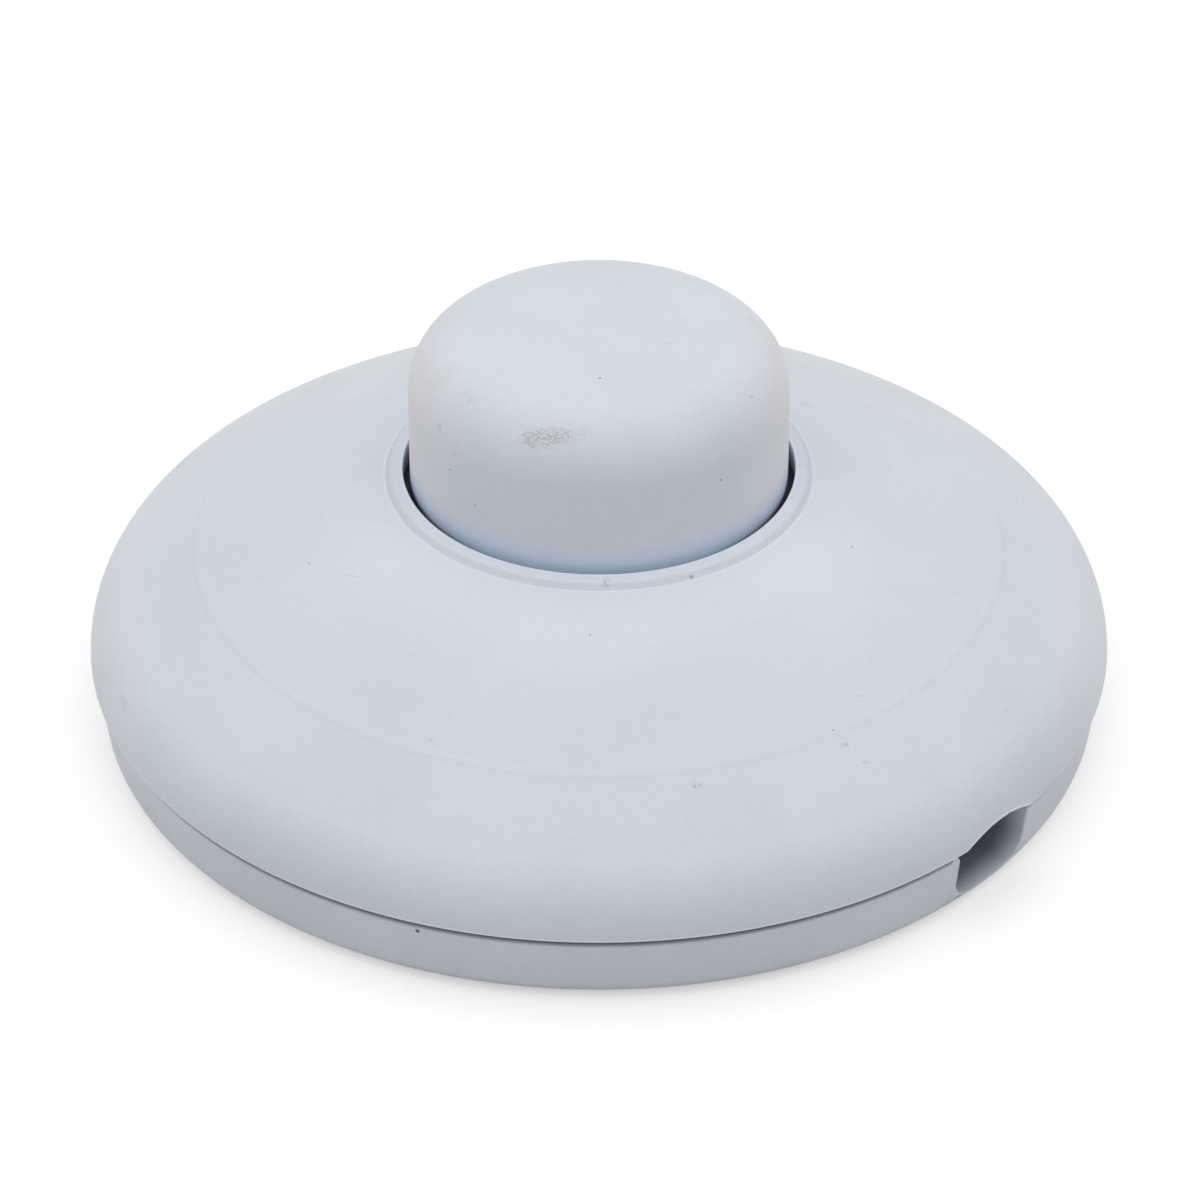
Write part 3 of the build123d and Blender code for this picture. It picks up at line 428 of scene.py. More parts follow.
def makeBase():
    b = base
    foot, shoulder = (b["foot"], b["bottom"]), (b["shoulder"], b["rim"])
    line = [(0, b["bottom"]), (b["flat"], b["bottom"])]
    line += roundCorner((b["flat"], b["bottom"]), foot, shoulder, b["footRound"], 10)
    line += roundCorner(foot, shoulder, (b["spigot"], b["rim"]), b["rimRound"], 7)
    line += [(b["spigot"], b["rim"]), (b["spigot"], b["spigotTop"] - b["leadIn"])]
    line += [(b["spigot"] - b["leadIn"], b["spigotTop"]), (b["spigotIn"], b["spigotTop"])]
    line += [(b["spigotIn"], b["floor"]), (b["bodyRingOut"], b["floor"])]
    line += [(b["bodyRingOut"], b["bodyRingTop"])]
    line += [(b["bodyRingIn"], b["bodyRingTop"]), (b["bodyRingIn"], b["floor"]), (0, b["floor"])]
    piece = spinLine("baseShell", line, b["steps"])

    sink = b["floor"] - b["sink"]  # everything that stands on the floor starts inside it
    pillars = aroundAxis(b["screwCircle"], caseScrewAngles)
    lugs = aroundAxis(b["lugCircle"], lugAngles)
    added = [cradle(1), cradle(-1)]
    added += [rod(x, y, b["pillar"], sink, b["pillarTop"]) for x, y in pillars]
    added += [rod(x, y, b["lug"], sink, b["lugTop"]) for x, y in lugs]
    for side in (1, -1):
        ends = sorted((side * b["seatStart"], side * b["seatEnd"]))
        added.append(block((ends[0], -b["seatHalf"], sink), (ends[1], b["seatHalf"], b["seatTop"])))
        ends = sorted((side * b["channelStart"], side * b["cheekEnd"]))
        low = (ends[0], -b["cheekHalf"], b["bottom"] + b["sink"])
        added.append(block(low, (ends[1], b["cheekHalf"], b["rim"])))
        added += [rod(side * b["postX"], y * b["postY"], b["post"], sink, b["postTop"], 40) for y in (1, -1)]
        for shift in (1, -1):
            x, half = side * b["postX"] + shift * b["ribSpacing"], b["ribWidth"] / 2
            added.append(block((x - half, -b["ribHalf"], sink), (x + half, b["ribHalf"], b["ribTop"])))
    combine(piece, joinAll(added), "UNION")

    below = b["bottom"] - clear
    feet = aroundAxis(b["footCircle"], footAngles)
    small = b["smallPilot"]
    holes = [rod(x, y, b["counterbore"], below, b["counterboreTop"]) for x, y in pillars]
    holes += [rod(x, y, b["recess"], below, b["recessTop"], 64) for x, y in feet]
    holes += [rod(x, y, small, b["lugPilotFoot"], b["lugTop"] + clear, 24) for x, y in lugs]
    for side in (1, -1):
        x, top = side * b["postX"], b["postTop"] + clear
        terminal = side * b["terminal"]
        holes.append(rod(terminal, 0, b["terminalHole"], b["terminalFoot"], b["seatTop"] + clear, 24))
        holes += [rod(x, y * b["postY"], small, b["postPilotFoot"], top, 24) for y in (1, -1)]
    combine(piece, joinAll(holes), "DIFFERENCE")
    shafts = [rod(x, y, b["screwHole"], below, b["pillarTop"] + clear, 32) for x, y in pillars]
    combine(piece, joinAll(shafts), "DIFFERENCE")

    # cord channels: rounded at the bottom, flared at the rim
    half, floor, top = b["channelHalf"], b["channelFloor"], b["channelTopHalf"]
    side = roundCorner((0, floor), (half, floor), (half, b["rim"]), b["channelRound"], 8)
    side += roundCorner((half, floor), (half, b["rim"]), (top, b["rim"]), b["channelFlare"], 6)
    side += [(top, b["rim"]), (top, b["spigotTop"] + 2 * clear)]
    outline = side + [(-p[0], p[1]) for p in reversed(side)]
    start, end = b["channelStart"], b["channelEnd"]
    channels = [tunnel("channelA", outline, start, end), tunnel("channelB", outline, -end, -start)]
    combine(piece, joinAll(channels), "DIFFERENCE")

    def onMouth(p):
        outside = math.hypot(p[0], p[1]) > b["mouthOutside"] and abs(p[1]) < b["mouthHalf"]
        return outside and p[2] < b["rim"] + b["mouthAbove"]

    print("mouth edges:", softenEdges(piece, onMouth, b["channelEdge"], 3, 35, b["channelMerge"]))
    smoothOff(piece)
    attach(piece, "housing")
    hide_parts("base_shell")
    return piece


# return spring

spring = {
    "radius": 13.0, "wire": 0.6, "sides": 14, "turns": 6, "steps": 64,
    "foot": 12.5, "head": 39.5, "pressed": 34.5,
}


def makeSpring():
    s = spring
    rise = s["head"] - s["foot"] - 2 * s["wire"]
    bpy.ops.object.select_all(action="DESELECT")
    bpy.ops.mesh.primitive_circle_add(
        vertices=s["sides"], radius=s["wire"] * mm, fill_type="NGON",
        location=(s["radius"] * mm, 0, (s["foot"] + s["wire"]) * mm), rotation=(math.pi / 2, 0, 0),
    )
    piece = bpy.context.object
    piece.name = piece.data.name = "returnSpring"
    bpy.ops.object.transform_apply(location=True, rotation=True, scale=True)
    # the wire's section is swept round once and then repeated turn by turn
    bpy.ops.object.mode_set(mode="EDIT")
    bpy.ops.mesh.select_all(action="SELECT")
    bpy.ops.mesh.delete(type="ONLY_FACE")
    bpy.ops.object.mode_set(mode="OBJECT")
    bpy.ops.object.modifier_add(type="SCREW")
    sweep = piece.modifiers[-1]
    sweep.axis = "Z"
    sweep.angle = 2 * math.pi
    sweep.screw_offset = rise / s["turns"] * mm
    sweep.iterations = s["turns"]
    sweep.steps = sweep.render_steps = s["steps"]
    bpy.ops.object.modifier_apply(modifier=sweep.name)
    bpy.ops.object.mode_set(mode="EDIT")
    bpy.ops.mesh.select_all(action="SELECT")
    bpy.ops.mesh.remove_doubles(threshold=mergeGap)
    bpy.ops.mesh.fill_holes(sides=0)
    bpy.ops.object.mode_set(mode="OBJECT")
    smoothOff(piece, 60)
    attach(piece, "housing")
    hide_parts("button_spring")
    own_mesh(piece)
    return piece


# shared effects for the materials

def colour(red, green, blue):  # screen values to linear
    shares = [v / 255 for v in (red, green, blue)]
    return tuple((v / 12.92) if v < 0.0405 else ((v + 0.055) / 1.055) ** 2.4 for v in shares) + (1,)


def newGroup(name, inputs, outputs):
    group = bpy.data.node_groups.new(name, "ShaderNodeTree")
    kinds = {"value": "NodeSocketFloat", "vector": "NodeSocketVector"}
    for label, kind, start in inputs:
        socket = group.interface.new_socket(name=label, in_out="INPUT", socket_type=kinds[kind])
        socket.default_value = start
    for label, kind in outputs:
        group.interface.new_socket(name=label, in_out="OUTPUT", socket_type=kinds[kind])
    return group, group.nodes.new("NodeGroupInput"), group.nodes.new("NodeGroupOutput")


def put(tree, socket, value):  # links an output or sets a plain value
    if isinstance(value, bpy.types.NodeSocket):
        tree.links.new(value, socket)
    else:
        socket.default_value = value


def sums(tree, operation, first, second=0.0):
    node = tree.nodes.new("ShaderNodeMath")
    node.operation = operation
    put(tree, node.inputs[0], first)
    put(tree, node.inputs[1], second)
    return node.outputs[0]


def ramp(tree, value, low, high, toLow=0.0, toHigh=1.0):  # smooth step between two values
    node = tree.nodes.new("ShaderNodeMapRange")
    node.interpolation_type = "SMOOTHSTEP"
    for socket, number in zip(node.inputs[:5], (value, low, high, toLow, toHigh)):
        put(tree, socket, number)
    return node.outputs[0]


def blend(tree, factor, first, second):
    node = tree.nodes.new("ShaderNodeMix")
    node.data_type = "RGBA"
    put(tree, node.inputs[0], factor)
    put(tree, node.inputs[6], first)
    put(tree, node.inputs[7], second)
    return node.outputs[2]


def noise(tree, vector, scale, detail=2.0, rough=0.5):
    node = tree.nodes.new("ShaderNodeTexNoise")
    put(tree, node.inputs["Vector"], vector)
    put(tree, node.inputs["Scale"], scale)
    node.inputs["Detail"].default_value = detail
    node.inputs["Roughness"].default_value = rough
    return node.outputs["Fac"]


def axes(tree, vector):  # x, y and z of a vector
    node = tree.nodes.new("ShaderNodeSeparateXYZ")
    tree.links.new(vector, node.inputs[0])
    return node.outputs


def fromAxis(tree, x, y):  # distance from the Z axis
    return sums(tree, "SQRT", sums(tree, "ADD", sums(tree, "MULTIPLY", x, x), sums(tree, "MULTIPLY", y, y)))


grainShape = {
    "fineDetail": 3, "fineRough": 0.6, "fineShare": 0.7,
    "coarseScale": 0.3, "coarseDetail": 2, "coarseShare": 0.3,
    "cloudDetail": 4, "cloudRough": 0.55, "toneStart": 0.3, "toneEnd": 0.7,
}
markShape = {
    "raggedDetail": 4, "raggedRough": 0.6, "raggedReach": 4.0, "raggedScale": 1400.0, "shortest": 0.5,
    "mottleScale": 5200.0, "mottleDetail": 3, "mottleRough": 0.7, "mottleStart": 0.44, "mottleEnd": 0.6,
    "mottleFrom": 0.38, "depth": 0.6,
}


def makeGrainGroup():  # moulded grain with a slow change of tone
    group, start, end = newGroup(
        "mouldedGrain",
        [("Vector", "vector", (0, 0, 0)), ("Grain", "value", 4000.0), ("Cloud", "value", 60.0)],
        [("Height", "value"), ("Tone", "value")],
    )
    g, where = grainShape, start.outputs["Vector"]
    fine = noise(group, where, start.outputs["Grain"], g["fineDetail"], g["fineRough"])
    coarseScale = sums(group, "MULTIPLY", start.outputs["Grain"], g["coarseScale"])
    coarse = noise(group, where, coarseScale, g["coarseDetail"])
    fine = sums(group, "MULTIPLY", fine, g["fineShare"])
    coarse = sums(group, "MULTIPLY", coarse, g["coarseShare"])
    put(group, end.inputs["Height"], sums(group, "ADD", fine, coarse))
    cloud = noise(group, where, start.outputs["Cloud"], g["cloudDetail"], g["cloudRough"])
    put(group, end.inputs["Tone"], ramp(group, cloud, g["toneStart"], g["toneEnd"]))
    return group


def makeMarkGroup():  # one stain, speck or scratch at a place
    group, start, end = newGroup(
        "placedMark",
        [
            ("Vector", "vector", (0, 0, 0)), ("Place", "vector", (0, 0, 0)), ("Turn", "vector", (0, 0, 0)),
            ("Size", "vector", (1, 1, 1)), ("Ragged", "value", 0.3), ("RaggedScale", "value", 900.0),
            ("Soft", "value", 0.5), ("Mottle", "value", 0.0),
        ],
        [("Mask", "value")],
    )
    local = group.nodes.new("ShaderNodeMapping")
    local.vector_type = "TEXTURE"
    for socket, label in zip(local.inputs, ("Vector", "Place", "Turn", "Size")):
        group.links.new(start.outputs[label], socket)
    length = group.nodes.new("ShaderNodeVectorMath")
    length.operation = "LENGTH"
    group.links.new(local.outputs[0], length.inputs[0])
    m, where = markShape, start.outputs["Vector"]
    uneven = noise(group, where, start.outputs["RaggedScale"], m["raggedDetail"], m["raggedRough"])
    uneven = sums(group, "MULTIPLY", sums(group, "SUBTRACT", uneven, 0.5), start.outputs["Ragged"])
    reach = sums(group, "ADD", length.outputs["Value"], sums(group, "MULTIPLY", uneven, m["raggedReach"]))
    inner = sums(group, "SUBTRACT", 1.0, start.outputs["Soft"])
    whole = ramp(group, reach, inner, 1.0, 1.0, 0.0)
    broken = noise(group, where, m["mottleScale"], m["mottleDetail"], m["mottleRough"])
    broken = ramp(group, broken, m["mottleStart"], m["mottleEnd"])
    lost = sums(group, "MULTIPLY", start.outputs["Mottle"], sums(group, "SUBTRACT", 1.0, broken))
    put(group, end.inputs["Mask"], sums(group, "MULTIPLY", whole, sums(group, "SUBTRACT", 1.0, lost)))
    return group


def makeRingGroup():  # soft band round the Z axis at one radius
    group, start, end = newGroup(
        "ringBand",
        [("Vector", "vector", (0, 0, 0)), ("Radius", "value", 0.03), ("Width", "value", 0.001)],
        [("Mask", "value")],
    )
    x, y = axes(group, start.outputs["Vector"])[:2]
    off = sums(group, "ABSOLUTE", sums(group, "SUBTRACT", fromAxis(group, x, y), start.outputs["Radius"]))
    off = sums(group, "DIVIDE", off, start.outputs["Width"])
    put(group, end.inputs["Mask"], ramp(group, off, 0.0, 1.0, 1.0, 0.0))
    return group


def makeSpeckGroup():  # sparse fine specks
    group, start, end = newGroup(
        "fineSpecks",
        [
            ("Vector", "vector", (0, 0, 0)), ("Scale", "value", 300.0),
            ("Share", "value", 0.1), ("Size", "value", 0.2),
        ],
        [("Mask", "value")],
    )
    cells = group.nodes.new("ShaderNodeTexVoronoi")
    group.links.new(start.outputs["Vector"], cells.inputs["Vector"])
    group.links.new(start.outputs["Scale"], cells.inputs["Scale"])
    shade = group.nodes.new("ShaderNodeSeparateColor")
    group.links.new(cells.outputs["Color"], shade.inputs[0])
    chosen = sums(group, "LESS_THAN", shade.outputs[0], start.outputs["Share"])
    size = sums(group, "MULTIPLY", start.outputs["Size"], sums(group, "ADD", shade.outputs[1], 0.3))
    dot = ramp(group, sums(group, "DIVIDE", cells.outputs["Distance"], size), 0.5, 1.0, 1.0, 0.0)
    put(group, end.inputs["Mask"], sums(group, "MULTIPLY", chosen, dot))
    return group


grainGroup, markGroup = makeGrainGroup(), makeMarkGroup()
ringGroup, speckGroup = makeRingGroup(), makeSpeckGroup()
print("effect groups made")


def place(tree, group, **values):  # a group node with its own values
    node = tree.nodes.new("ShaderNodeGroup")
    node.node_tree = group
    for label, value in values.items():
        put(tree, node.inputs[label], value)
    return node.outputs


def newMaterial(name):
    material = bpy.data.materials.new(name)
    material.use_nodes = True
    tree = material.node_tree
    shader = tree.nodes["Principled BSDF"]
    where = tree.nodes.new("ShaderNodeTexCoord")
    return material, tree, shader, where.outputs["Object"]


def bump(tree, shader, height, strength, distance):
    node = tree.nodes.new("ShaderNodeBump")
    node.inputs["Strength"].default_value = strength
    node.inputs["Distance"].default_value = distance
    put(tree, node.inputs["Height"], height)
    tree.links.new(node.outputs[0], shader.inputs["Normal"])


def paintMarks(tree, vector, base, marks):
    m = markShape
    for x, y, z, long, wide, turn, tint, strength, ragged, soft in marks:
        mask = place(
            tree, markGroup, Vector=vector, Place=Vector((x, y, z)) * mm, Turn=(0, 0, math.radians(turn)),
            Size=Vector((long, wide, max(wide, m["depth"] * long))) * mm, Ragged=ragged, Soft=soft,
            RaggedScale=m["raggedScale"] / max(long, m["shortest"]),
            Mottle=1.0 if long > m["mottleFrom"] else 0.0,
        )["Mask"]
        base = blend(tree, sums(tree, "MULTIPLY", mask, strength), base, tints[tint])
    return base


# white moulded plastic

tints = {
    "shell": colour(214, 221, 231), "shellShade": colour(208, 215, 226),
    "cap": colour(213, 220, 230), "capShade": colour(207, 214, 225),
    "base": colour(219, 221, 229), "baseShade": colour(213, 215, 223), "pit": colour(200, 207, 219),
    # the next three lines are painted light and shade: painted highlights on edges, painted light in front of
    # the button, painted shade on the lip's lower slope, a painted blue reflection at the button's foot,
    # painted light on the sides, painted shade at the back, and painted shade in the parting seam, the cord
    # mouths and the gap round the button
    "paintedEdgeHighlight": colour(244, 247, 251), "paintedFrontLight": colour(236, 243, 252), "slope": colour(188, 190, 197),
    "paintedBlueReflection": colour(192, 211, 236), "paintedSideLight": colour(226, 223, 222), "paintedBackShade": colour(206, 207, 207),
    "seam": colour(64, 68, 82), "mouth": colour(116, 122, 140), "deep": colour(28, 30, 38),
    "brown": colour(150, 128, 104), "grey": colour(120, 122, 128), "dark": colour(52, 50, 52),
    "orange": colour(206, 150, 96),
}

# x, y, z, half length, half width, turn, tint, strength, raggedness, softness
coverMarks = [
    (13.51, -14.44, 26.65, 1.0, 0.5, -45, "grey", 0.45, 0.3, 0.7),
    (18.88, -8.35, 26.51, 0.35, 0.3, 0, "dark", 0.55, 0.2, 0.6),
    (6.21, 24.05, 24.96, 1.6, 0.7, 10, "grey", 0.20, 0.4, 0.8),
    (-13.29, -26.71, 23.09, 0.13, 0.11, 0, "dark", 0.65, 0.1, 0.5),
    (16.23, -19.81, 24.69, 0.13, 0.11, 0, "dark", 0.59, 0.1, 0.5),
    (25.11, 7.87, 24.44, 0.14, 0.12, 0, "grey", 0.78, 0.1, 0.5),
    (25.31, 33.85, 16.88, 0.14, 0.12, 0, "grey", 0.78, 0.1, 0.5),
    (37.61, -10.18, 18.77, 0.13, 0.11, 0, "dark", 0.59, 0.1, 0.5),
    (36.82, -5.43, 19.69, 0.12, 0.10, 0, "dark", 0.52, 0.1, 0.5),
    (18.04, 22.28, 23.56, 0.13, 0.12, 0, "grey", 0.65, 0.1, 0.5),
    (-7.82, -26.52, 23.95, 1.3, 0.14, 15, "grey", 0.35, 0.2, 0.7),
    (11.34, -36.23, 19.30, 0.4, 0.25, 20, "orange", 0.6, 0.2, 0.6),
    (44.72, 7.00, 14.99, 0.4, 0.3, 60, "orange", 0.6, 0.2, 0.6),
    (32.91, -24.02, 17.77, 0.7, 0.35, 40, "brown", 0.6, 0.3, 0.6),
    (39.18, -10.34, 17.90, 0.5, 0.25, 70, "brown", 0.55, 0.3, 0.6),
    (41.27, -9.96, 16.76, 0.4, 0.22, 70, "brown", 0.5, 0.3, 0.6),
    (-21.69, -43.77, 11.71, 1.6, 0.4, -27, "grey", 0.25, 0.4, 0.7),
]

buttonMarks = [
    (-7.60, -13.80, 39.60, 3.4, 1.8, 60, "brown", 0.20, 0.5, 0.8),
    (9.50, 12.50, 39.60, 3.2, 1.6, 60, "brown", 0.18, 0.5, 0.8),
    (6.96, -14.70, 40.09, 3.8, 1.1, 37, "brown", 0.62, 0.5, 0.75),
    (5.07, -5.65, 41.5, 0.18, 0.15, 0, "dark", 0.78, 0.1, 0.5),
    (5.86, 3.37, 41.5, 1.3, 0.15, 40, "grey", 0.3, 0.2, 0.7),
    (9.73, -9.99, 41.31, 0.9, 0.6, 20, "grey", 0.18, 0.4, 0.8),
    (-4.64, -17.35, 37.59, 0.7, 0.5, 0, "grey", 0.35, 0.4, 0.7),
    (-2.31, -15.38, 40.62, 0.8, 0.35, 20, "grey", 0.3, 0.4, 0.7),
    (-2.03, -18.15, 36.07, 0.4, 0.35, 0, "grey", 0.4, 0.3, 0.6),
    (-2.79, -18.06, 33.91, 0.13, 0.12, 0, "dark", 0.65, 0.1, 0.5),
    (0.52, -18.26, 31.52, 0.12, 0.12, 0, "dark", 0.59, 0.1, 0.5),
    (17.98, -3.23, 34.45, 0.15, 0.15, 0, "dark", 0.65, 0.1, 0.5),
    (16.24, 3.25, 39.81, 0.13, 0.12, 0, "grey", 0.78, 0.1, 0.5),
    (7.94, 12.88, 40.85, 0.14, 0.12, 0, "dark", 0.65, 0.1, 0.5),
]

baseMarks = [(18.24, -46.02, 6.35, 0.3, 0.3, 0, "dark", 0.9, 0.1, 0.5)]

plastic = {
    "grain": 3800.0, "cloud": 70.0, "toneShare": 0.7, "pits": (0.38, 0.64, 0.0, 0.3),
    "speckScale": 420.0, "speckShare": 0.02, "speckSize": 0.05, "speckDepth": 0.25,
    "roughSpread": 0.08, "specular": 0.5, "relief": 0.55, "reliefHeight": 0.03,
}


def makeWhite(name, tint, shade, marks, rough, rings=(), extra=None):
    p = plastic
    material, tree, shader, vector = newMaterial(name)
    grain = place(tree, grainGroup, Vector=vector, Grain=p["grain"], Cloud=p["cloud"])
    base = blend(tree, sums(tree, "MULTIPLY", grain["Tone"], p["toneShare"]), tints[tint], tints[shade])
    base = blend(tree, ramp(tree, grain["Height"], *p["pits"]), base, tints["pit"])
    specks = place(
        tree, speckGroup, Vector=vector, Scale=p["speckScale"], Share=p["speckShare"], Size=p["speckSize"],
    )
    base = blend(tree, sums(tree, "MULTIPLY", specks["Mask"], p["speckDepth"]), base, tints["grey"])
    height = grain["Height"]
    for radius, width, depth in rings:  # faint sink marks over the ribs inside
        band = ringMask(tree, vector, radius, width)
        height = sums(tree, "ADD", height, sums(tree, "MULTIPLY", band, depth))
    if extra:
        base = extra(tree, vector, base)
    base = paintMarks(tree, vector, base, marks)
    put(tree, shader.inputs["Base Color"], base)
    rough = ramp(tree, grain["Tone"], 0.0, 1.0, rough, rough + p["roughSpread"])
    put(tree, shader.inputs["Roughness"], rough)
    shader.inputs["Specular IOR Level"].default_value = p["specular"]
    bump(tree, shader, height, p["relief"], p["reliefHeight"] * mm)
    return material


# painted light and shade: start and end of each change in millimetres, then its strength at both
sightRight = (0.75, 0.66)  # direction to the right of the photo, in x and y
fades = {
    "coverBack": (4, 44, 0.0, 0.7), "coverSides": (40, 50, 0.0, 0.35), "coverFront": (-16, 2, 0.46, 0.0),
    "rimLine": (7.7, 7.96, 0.9, 0.0), "archLine": (49.0, 49.3, 0.0, 1.0),
    "capBack": (0.0, 18, 0.0, 0.35), "capSides": (11, 18, 0.0, 0.6), "capFoot": (27.0, 29.8, 0.7, 0.0),
    "slitTop": (25.9, 26.8, 0.92, 0.0), "slitSides": (9, 15, 0.0, 1.0),
    "seamTop": (6.58, 7.1, 0.0, 0.86), "seamEnds": (5.9, 6.4, 0.0, 1.0),
    "mouthWidth": (6.4, 6.7, 1.0, 0.0), "mouthStart": (41, 42, 0.0, 1.0), "mouthFloor": (0.8, 1.1, 0.0, 1.0),
    "mouthShade": (45.8, 49.3, 0.95, 0.0), "mouthEnd": (43.6, 44.6, 1.0, 0.0),
}
paintedRings = {  # painted light and shade round the axis (light in front of the button, shade on the lip's lower slope, highlights on the hole's edge and the lip's foot): radius, width and strength
    "roundHole": (19, 17, 1.0), "lipSlope": (20.35, 0.45, 0.45),
    "holeEdge": (19.05, 0.24, 0.5), "lipFoot": (20.8, 0.2, 0.2),
}
# painted highlight along the arch's edge: distance outside the arch and width
archLine = {"out": 0.08, "width": 0.4}


def fade(tree, value, name):
    start, end, low, high = fades[name]
    return ramp(tree, value, start * mm, end * mm, low, high)


def ringMask(tree, vector, radius, width):
    return place(tree, ringGroup, Vector=vector, Radius=radius * mm, Width=width * mm)["Mask"]


def paintedRing(tree, vector, name):
    radius, width, strength = paintedRings[name]
    return sums(tree, "MULTIPLY", ringMask(tree, vector, radius, width), strength)


def sideways(tree, x, y):  # distance to the left or right of the plane that the photo looks along
    a, b = sums(tree, "MULTIPLY", x, sightRight[0]), sums(tree, "MULTIPLY", y, sightRight[1])
    return sums(tree, "ABSOLUTE", sums(tree, "ADD", a, b))


def backwards(tree, x, y):  # distance to the back of the photo
    a, b = sums(tree, "MULTIPLY", y, sightRight[0]), sums(tree, "MULTIPLY", x, sightRight[1])
    return sums(tree, "SUBTRACT", a, b)


def coverPaintedLight(tree, vector, base):  # painted highlights as paler lines on the rim, arches and lip, painted shade at the back, painted light on the sides and in front of the button, and painted shade on the lip's lower slope
    x, y, z = axes(tree, vector)
    away = backwards(tree, x, y)
    base = blend(tree, fade(tree, away, "coverBack"), base, tints["paintedBackShade"])
    base = blend(tree, fade(tree, sideways(tree, x, y), "coverSides"), base, tints["paintedSideLight"])
    paintedFrontLight = sums(tree, "MULTIPLY", paintedRing(tree, vector, "roundHole"), fade(tree, away, "coverFront"))
    base = blend(tree, paintedFrontLight, base, tints["paintedFrontLight"])
    base = blend(tree, paintedRing(tree, vector, "lipSlope"), base, tints["slope"])
    line = fade(tree, z, "rimLine")
    turned = tree.nodes.new("ShaderNodeCombineXYZ")  # the arch's circle lies in Y and Z
    put(tree, turned.inputs[0], y)
    put(tree, turned.inputs[1], sums(tree, "ADD", z, (cover["archRadius"] - cover["archCrown"]) * mm))
    arch = ringMask(tree, turned.outputs[0], cover["archRadius"] + archLine["out"], archLine["width"])
    outside = fade(tree, sums(tree, "ABSOLUTE", x), "archLine")
    line = sums(tree, "MAXIMUM", line, sums(tree, "MULTIPLY", arch, outside))
    for name in ("holeEdge", "lipFoot"):
        line = sums(tree, "MAXIMUM", line, paintedRing(tree, vector, name))
    return blend(tree, line, base, tints["paintedEdgeHighlight"])


def capPaintedLight(tree, vector, base):  # painted shade at the back, painted light on the sides, a painted blue reflection at the foot, and painted shade in the gap below the hole's edge
    x, y, z = axes(tree, vector)
    side = sideways(tree, x, y)
    base = blend(tree, fade(tree, backwards(tree, x, y), "capBack"), base, tints["paintedBackShade"])
    base = blend(tree, fade(tree, side, "capSides"), base, tints["paintedSideLight"])
    base = blend(tree, fade(tree, z, "capFoot"), base, tints["paintedBlueReflection"])
    slit = sums(tree, "MULTIPLY", fade(tree, z, "slitTop"), fade(tree, side, "slitSides"))
    return blend(tree, slit, base, tints["deep"])


def seamPaintedShade(tree, vector, base):  # painted shade along the parting line under the cover's overhang, and painted shade growing darker inside the cord mouths
    x, y, z = axes(tree, vector)
    radius = fromAxis(tree, x, y)
    across, along = sums(tree, "ABSOLUTE", y), sums(tree, "ABSOLUTE", x)
    seam = sums(tree, "MULTIPLY", fade(tree, z, "seamTop"), fade(tree, across, "seamEnds"))
    base = blend(tree, seam, base, tints["seam"])
    within = sums(tree, "MULTIPLY", fade(tree, across, "mouthWidth"), fade(tree, along, "mouthStart"))
    within = sums(tree, "MULTIPLY", within, fade(tree, z, "mouthFloor"))
    shade = sums(tree, "MULTIPLY", within, fade(tree, radius, "mouthShade"))
    base = blend(tree, shade, base, tints["mouth"])
    inner = sums(tree, "MULTIPLY", within, fade(tree, radius, "mouthEnd"))
    return blend(tree, inner, base, tints["deep"])


# metals, dark plastic and rubber

hidden = {  # tint, lighter tint, metallic, roughness, grain, stretch of the grain along X, relief
    "darkMechanism": ((26, 26, 29), (38, 38, 42), 0.0, 0.5, 3500.0, 1.0, 0.25),
    "stampedBrass": ((196, 160, 96), (222, 190, 128), 1.0, 0.32, 2200.0, 0.15, 0.2),
    "platedSteel": ((168, 168, 164), (196, 196, 194), 1.0, 0.34, 2600.0, 1.0, 0.2),
    "springSteel": ((138, 138, 142), (170, 171, 176), 1.0, 0.3, 2800.0, 0.3, 0.15),
    "footRubber": ((34, 34, 34), (50, 50, 49), 0.0, 0.8, 2600.0, 1.0, 0.4),
}
hiddenCommon = {"cloud": 220.0, "smoother": 0.06, "rougher": 0.08, "reliefHeight": 0.02}


def makeHidden(name):
    h = hiddenCommon
    dark, light, metallic, rough, grainSize, stretch, relief = hidden[name]
    material, tree, shader, vector = newMaterial(name)
    drawn = tree.nodes.new("ShaderNodeMapping")
    drawn.inputs["Scale"].default_value = (stretch, 1, 1)
    tree.links.new(vector, drawn.inputs["Vector"])
    grain = place(tree, grainGroup, Vector=drawn.outputs[0], Grain=grainSize, Cloud=h["cloud"])
    put(tree, shader.inputs["Base Color"], blend(tree, grain["Tone"], colour(*dark), colour(*light)))
    shader.inputs["Metallic"].default_value = metallic
    rough = ramp(tree, grain["Tone"], 0.0, 1.0, rough - h["smoother"], rough + h["rougher"])
    put(tree, shader.inputs["Roughness"], rough)
    bump(tree, shader, grain["Height"], relief, h["reliefHeight"] * mm)
    return material


def dress(piece, material):
    piece.data.materials.clear()
    piece.data.materials.append(material)


coverShell = makeCover()
baseShell = makeBase()
buttonCap = makeButton()
returnSpring = makeSpring()

sinkMarks = [(39.2, 0.6, 2.8), (26.9, 0.5, 1.4)]  # radius, width and depth
whiteShell = makeWhite("whiteShell", "shell", "shellShade", coverMarks, 0.46, sinkMarks, coverPaintedLight)
whiteButton = makeWhite("whiteButton", "cap", "capShade", buttonMarks, 0.44, extra=capPaintedLight)
whiteBase = makeWhite("whiteBase", "base", "baseShade", baseMarks, 0.5, extra=seamPaintedShade)
darkMechanism, stampedBrass, platedSteel, springSteel, footRubber = map(makeHidden, hidden)
dress(coverShell, whiteShell)
dress(baseShell, whiteBase)
dress(buttonCap, whiteButton)
dress(returnSpring, springSteel)

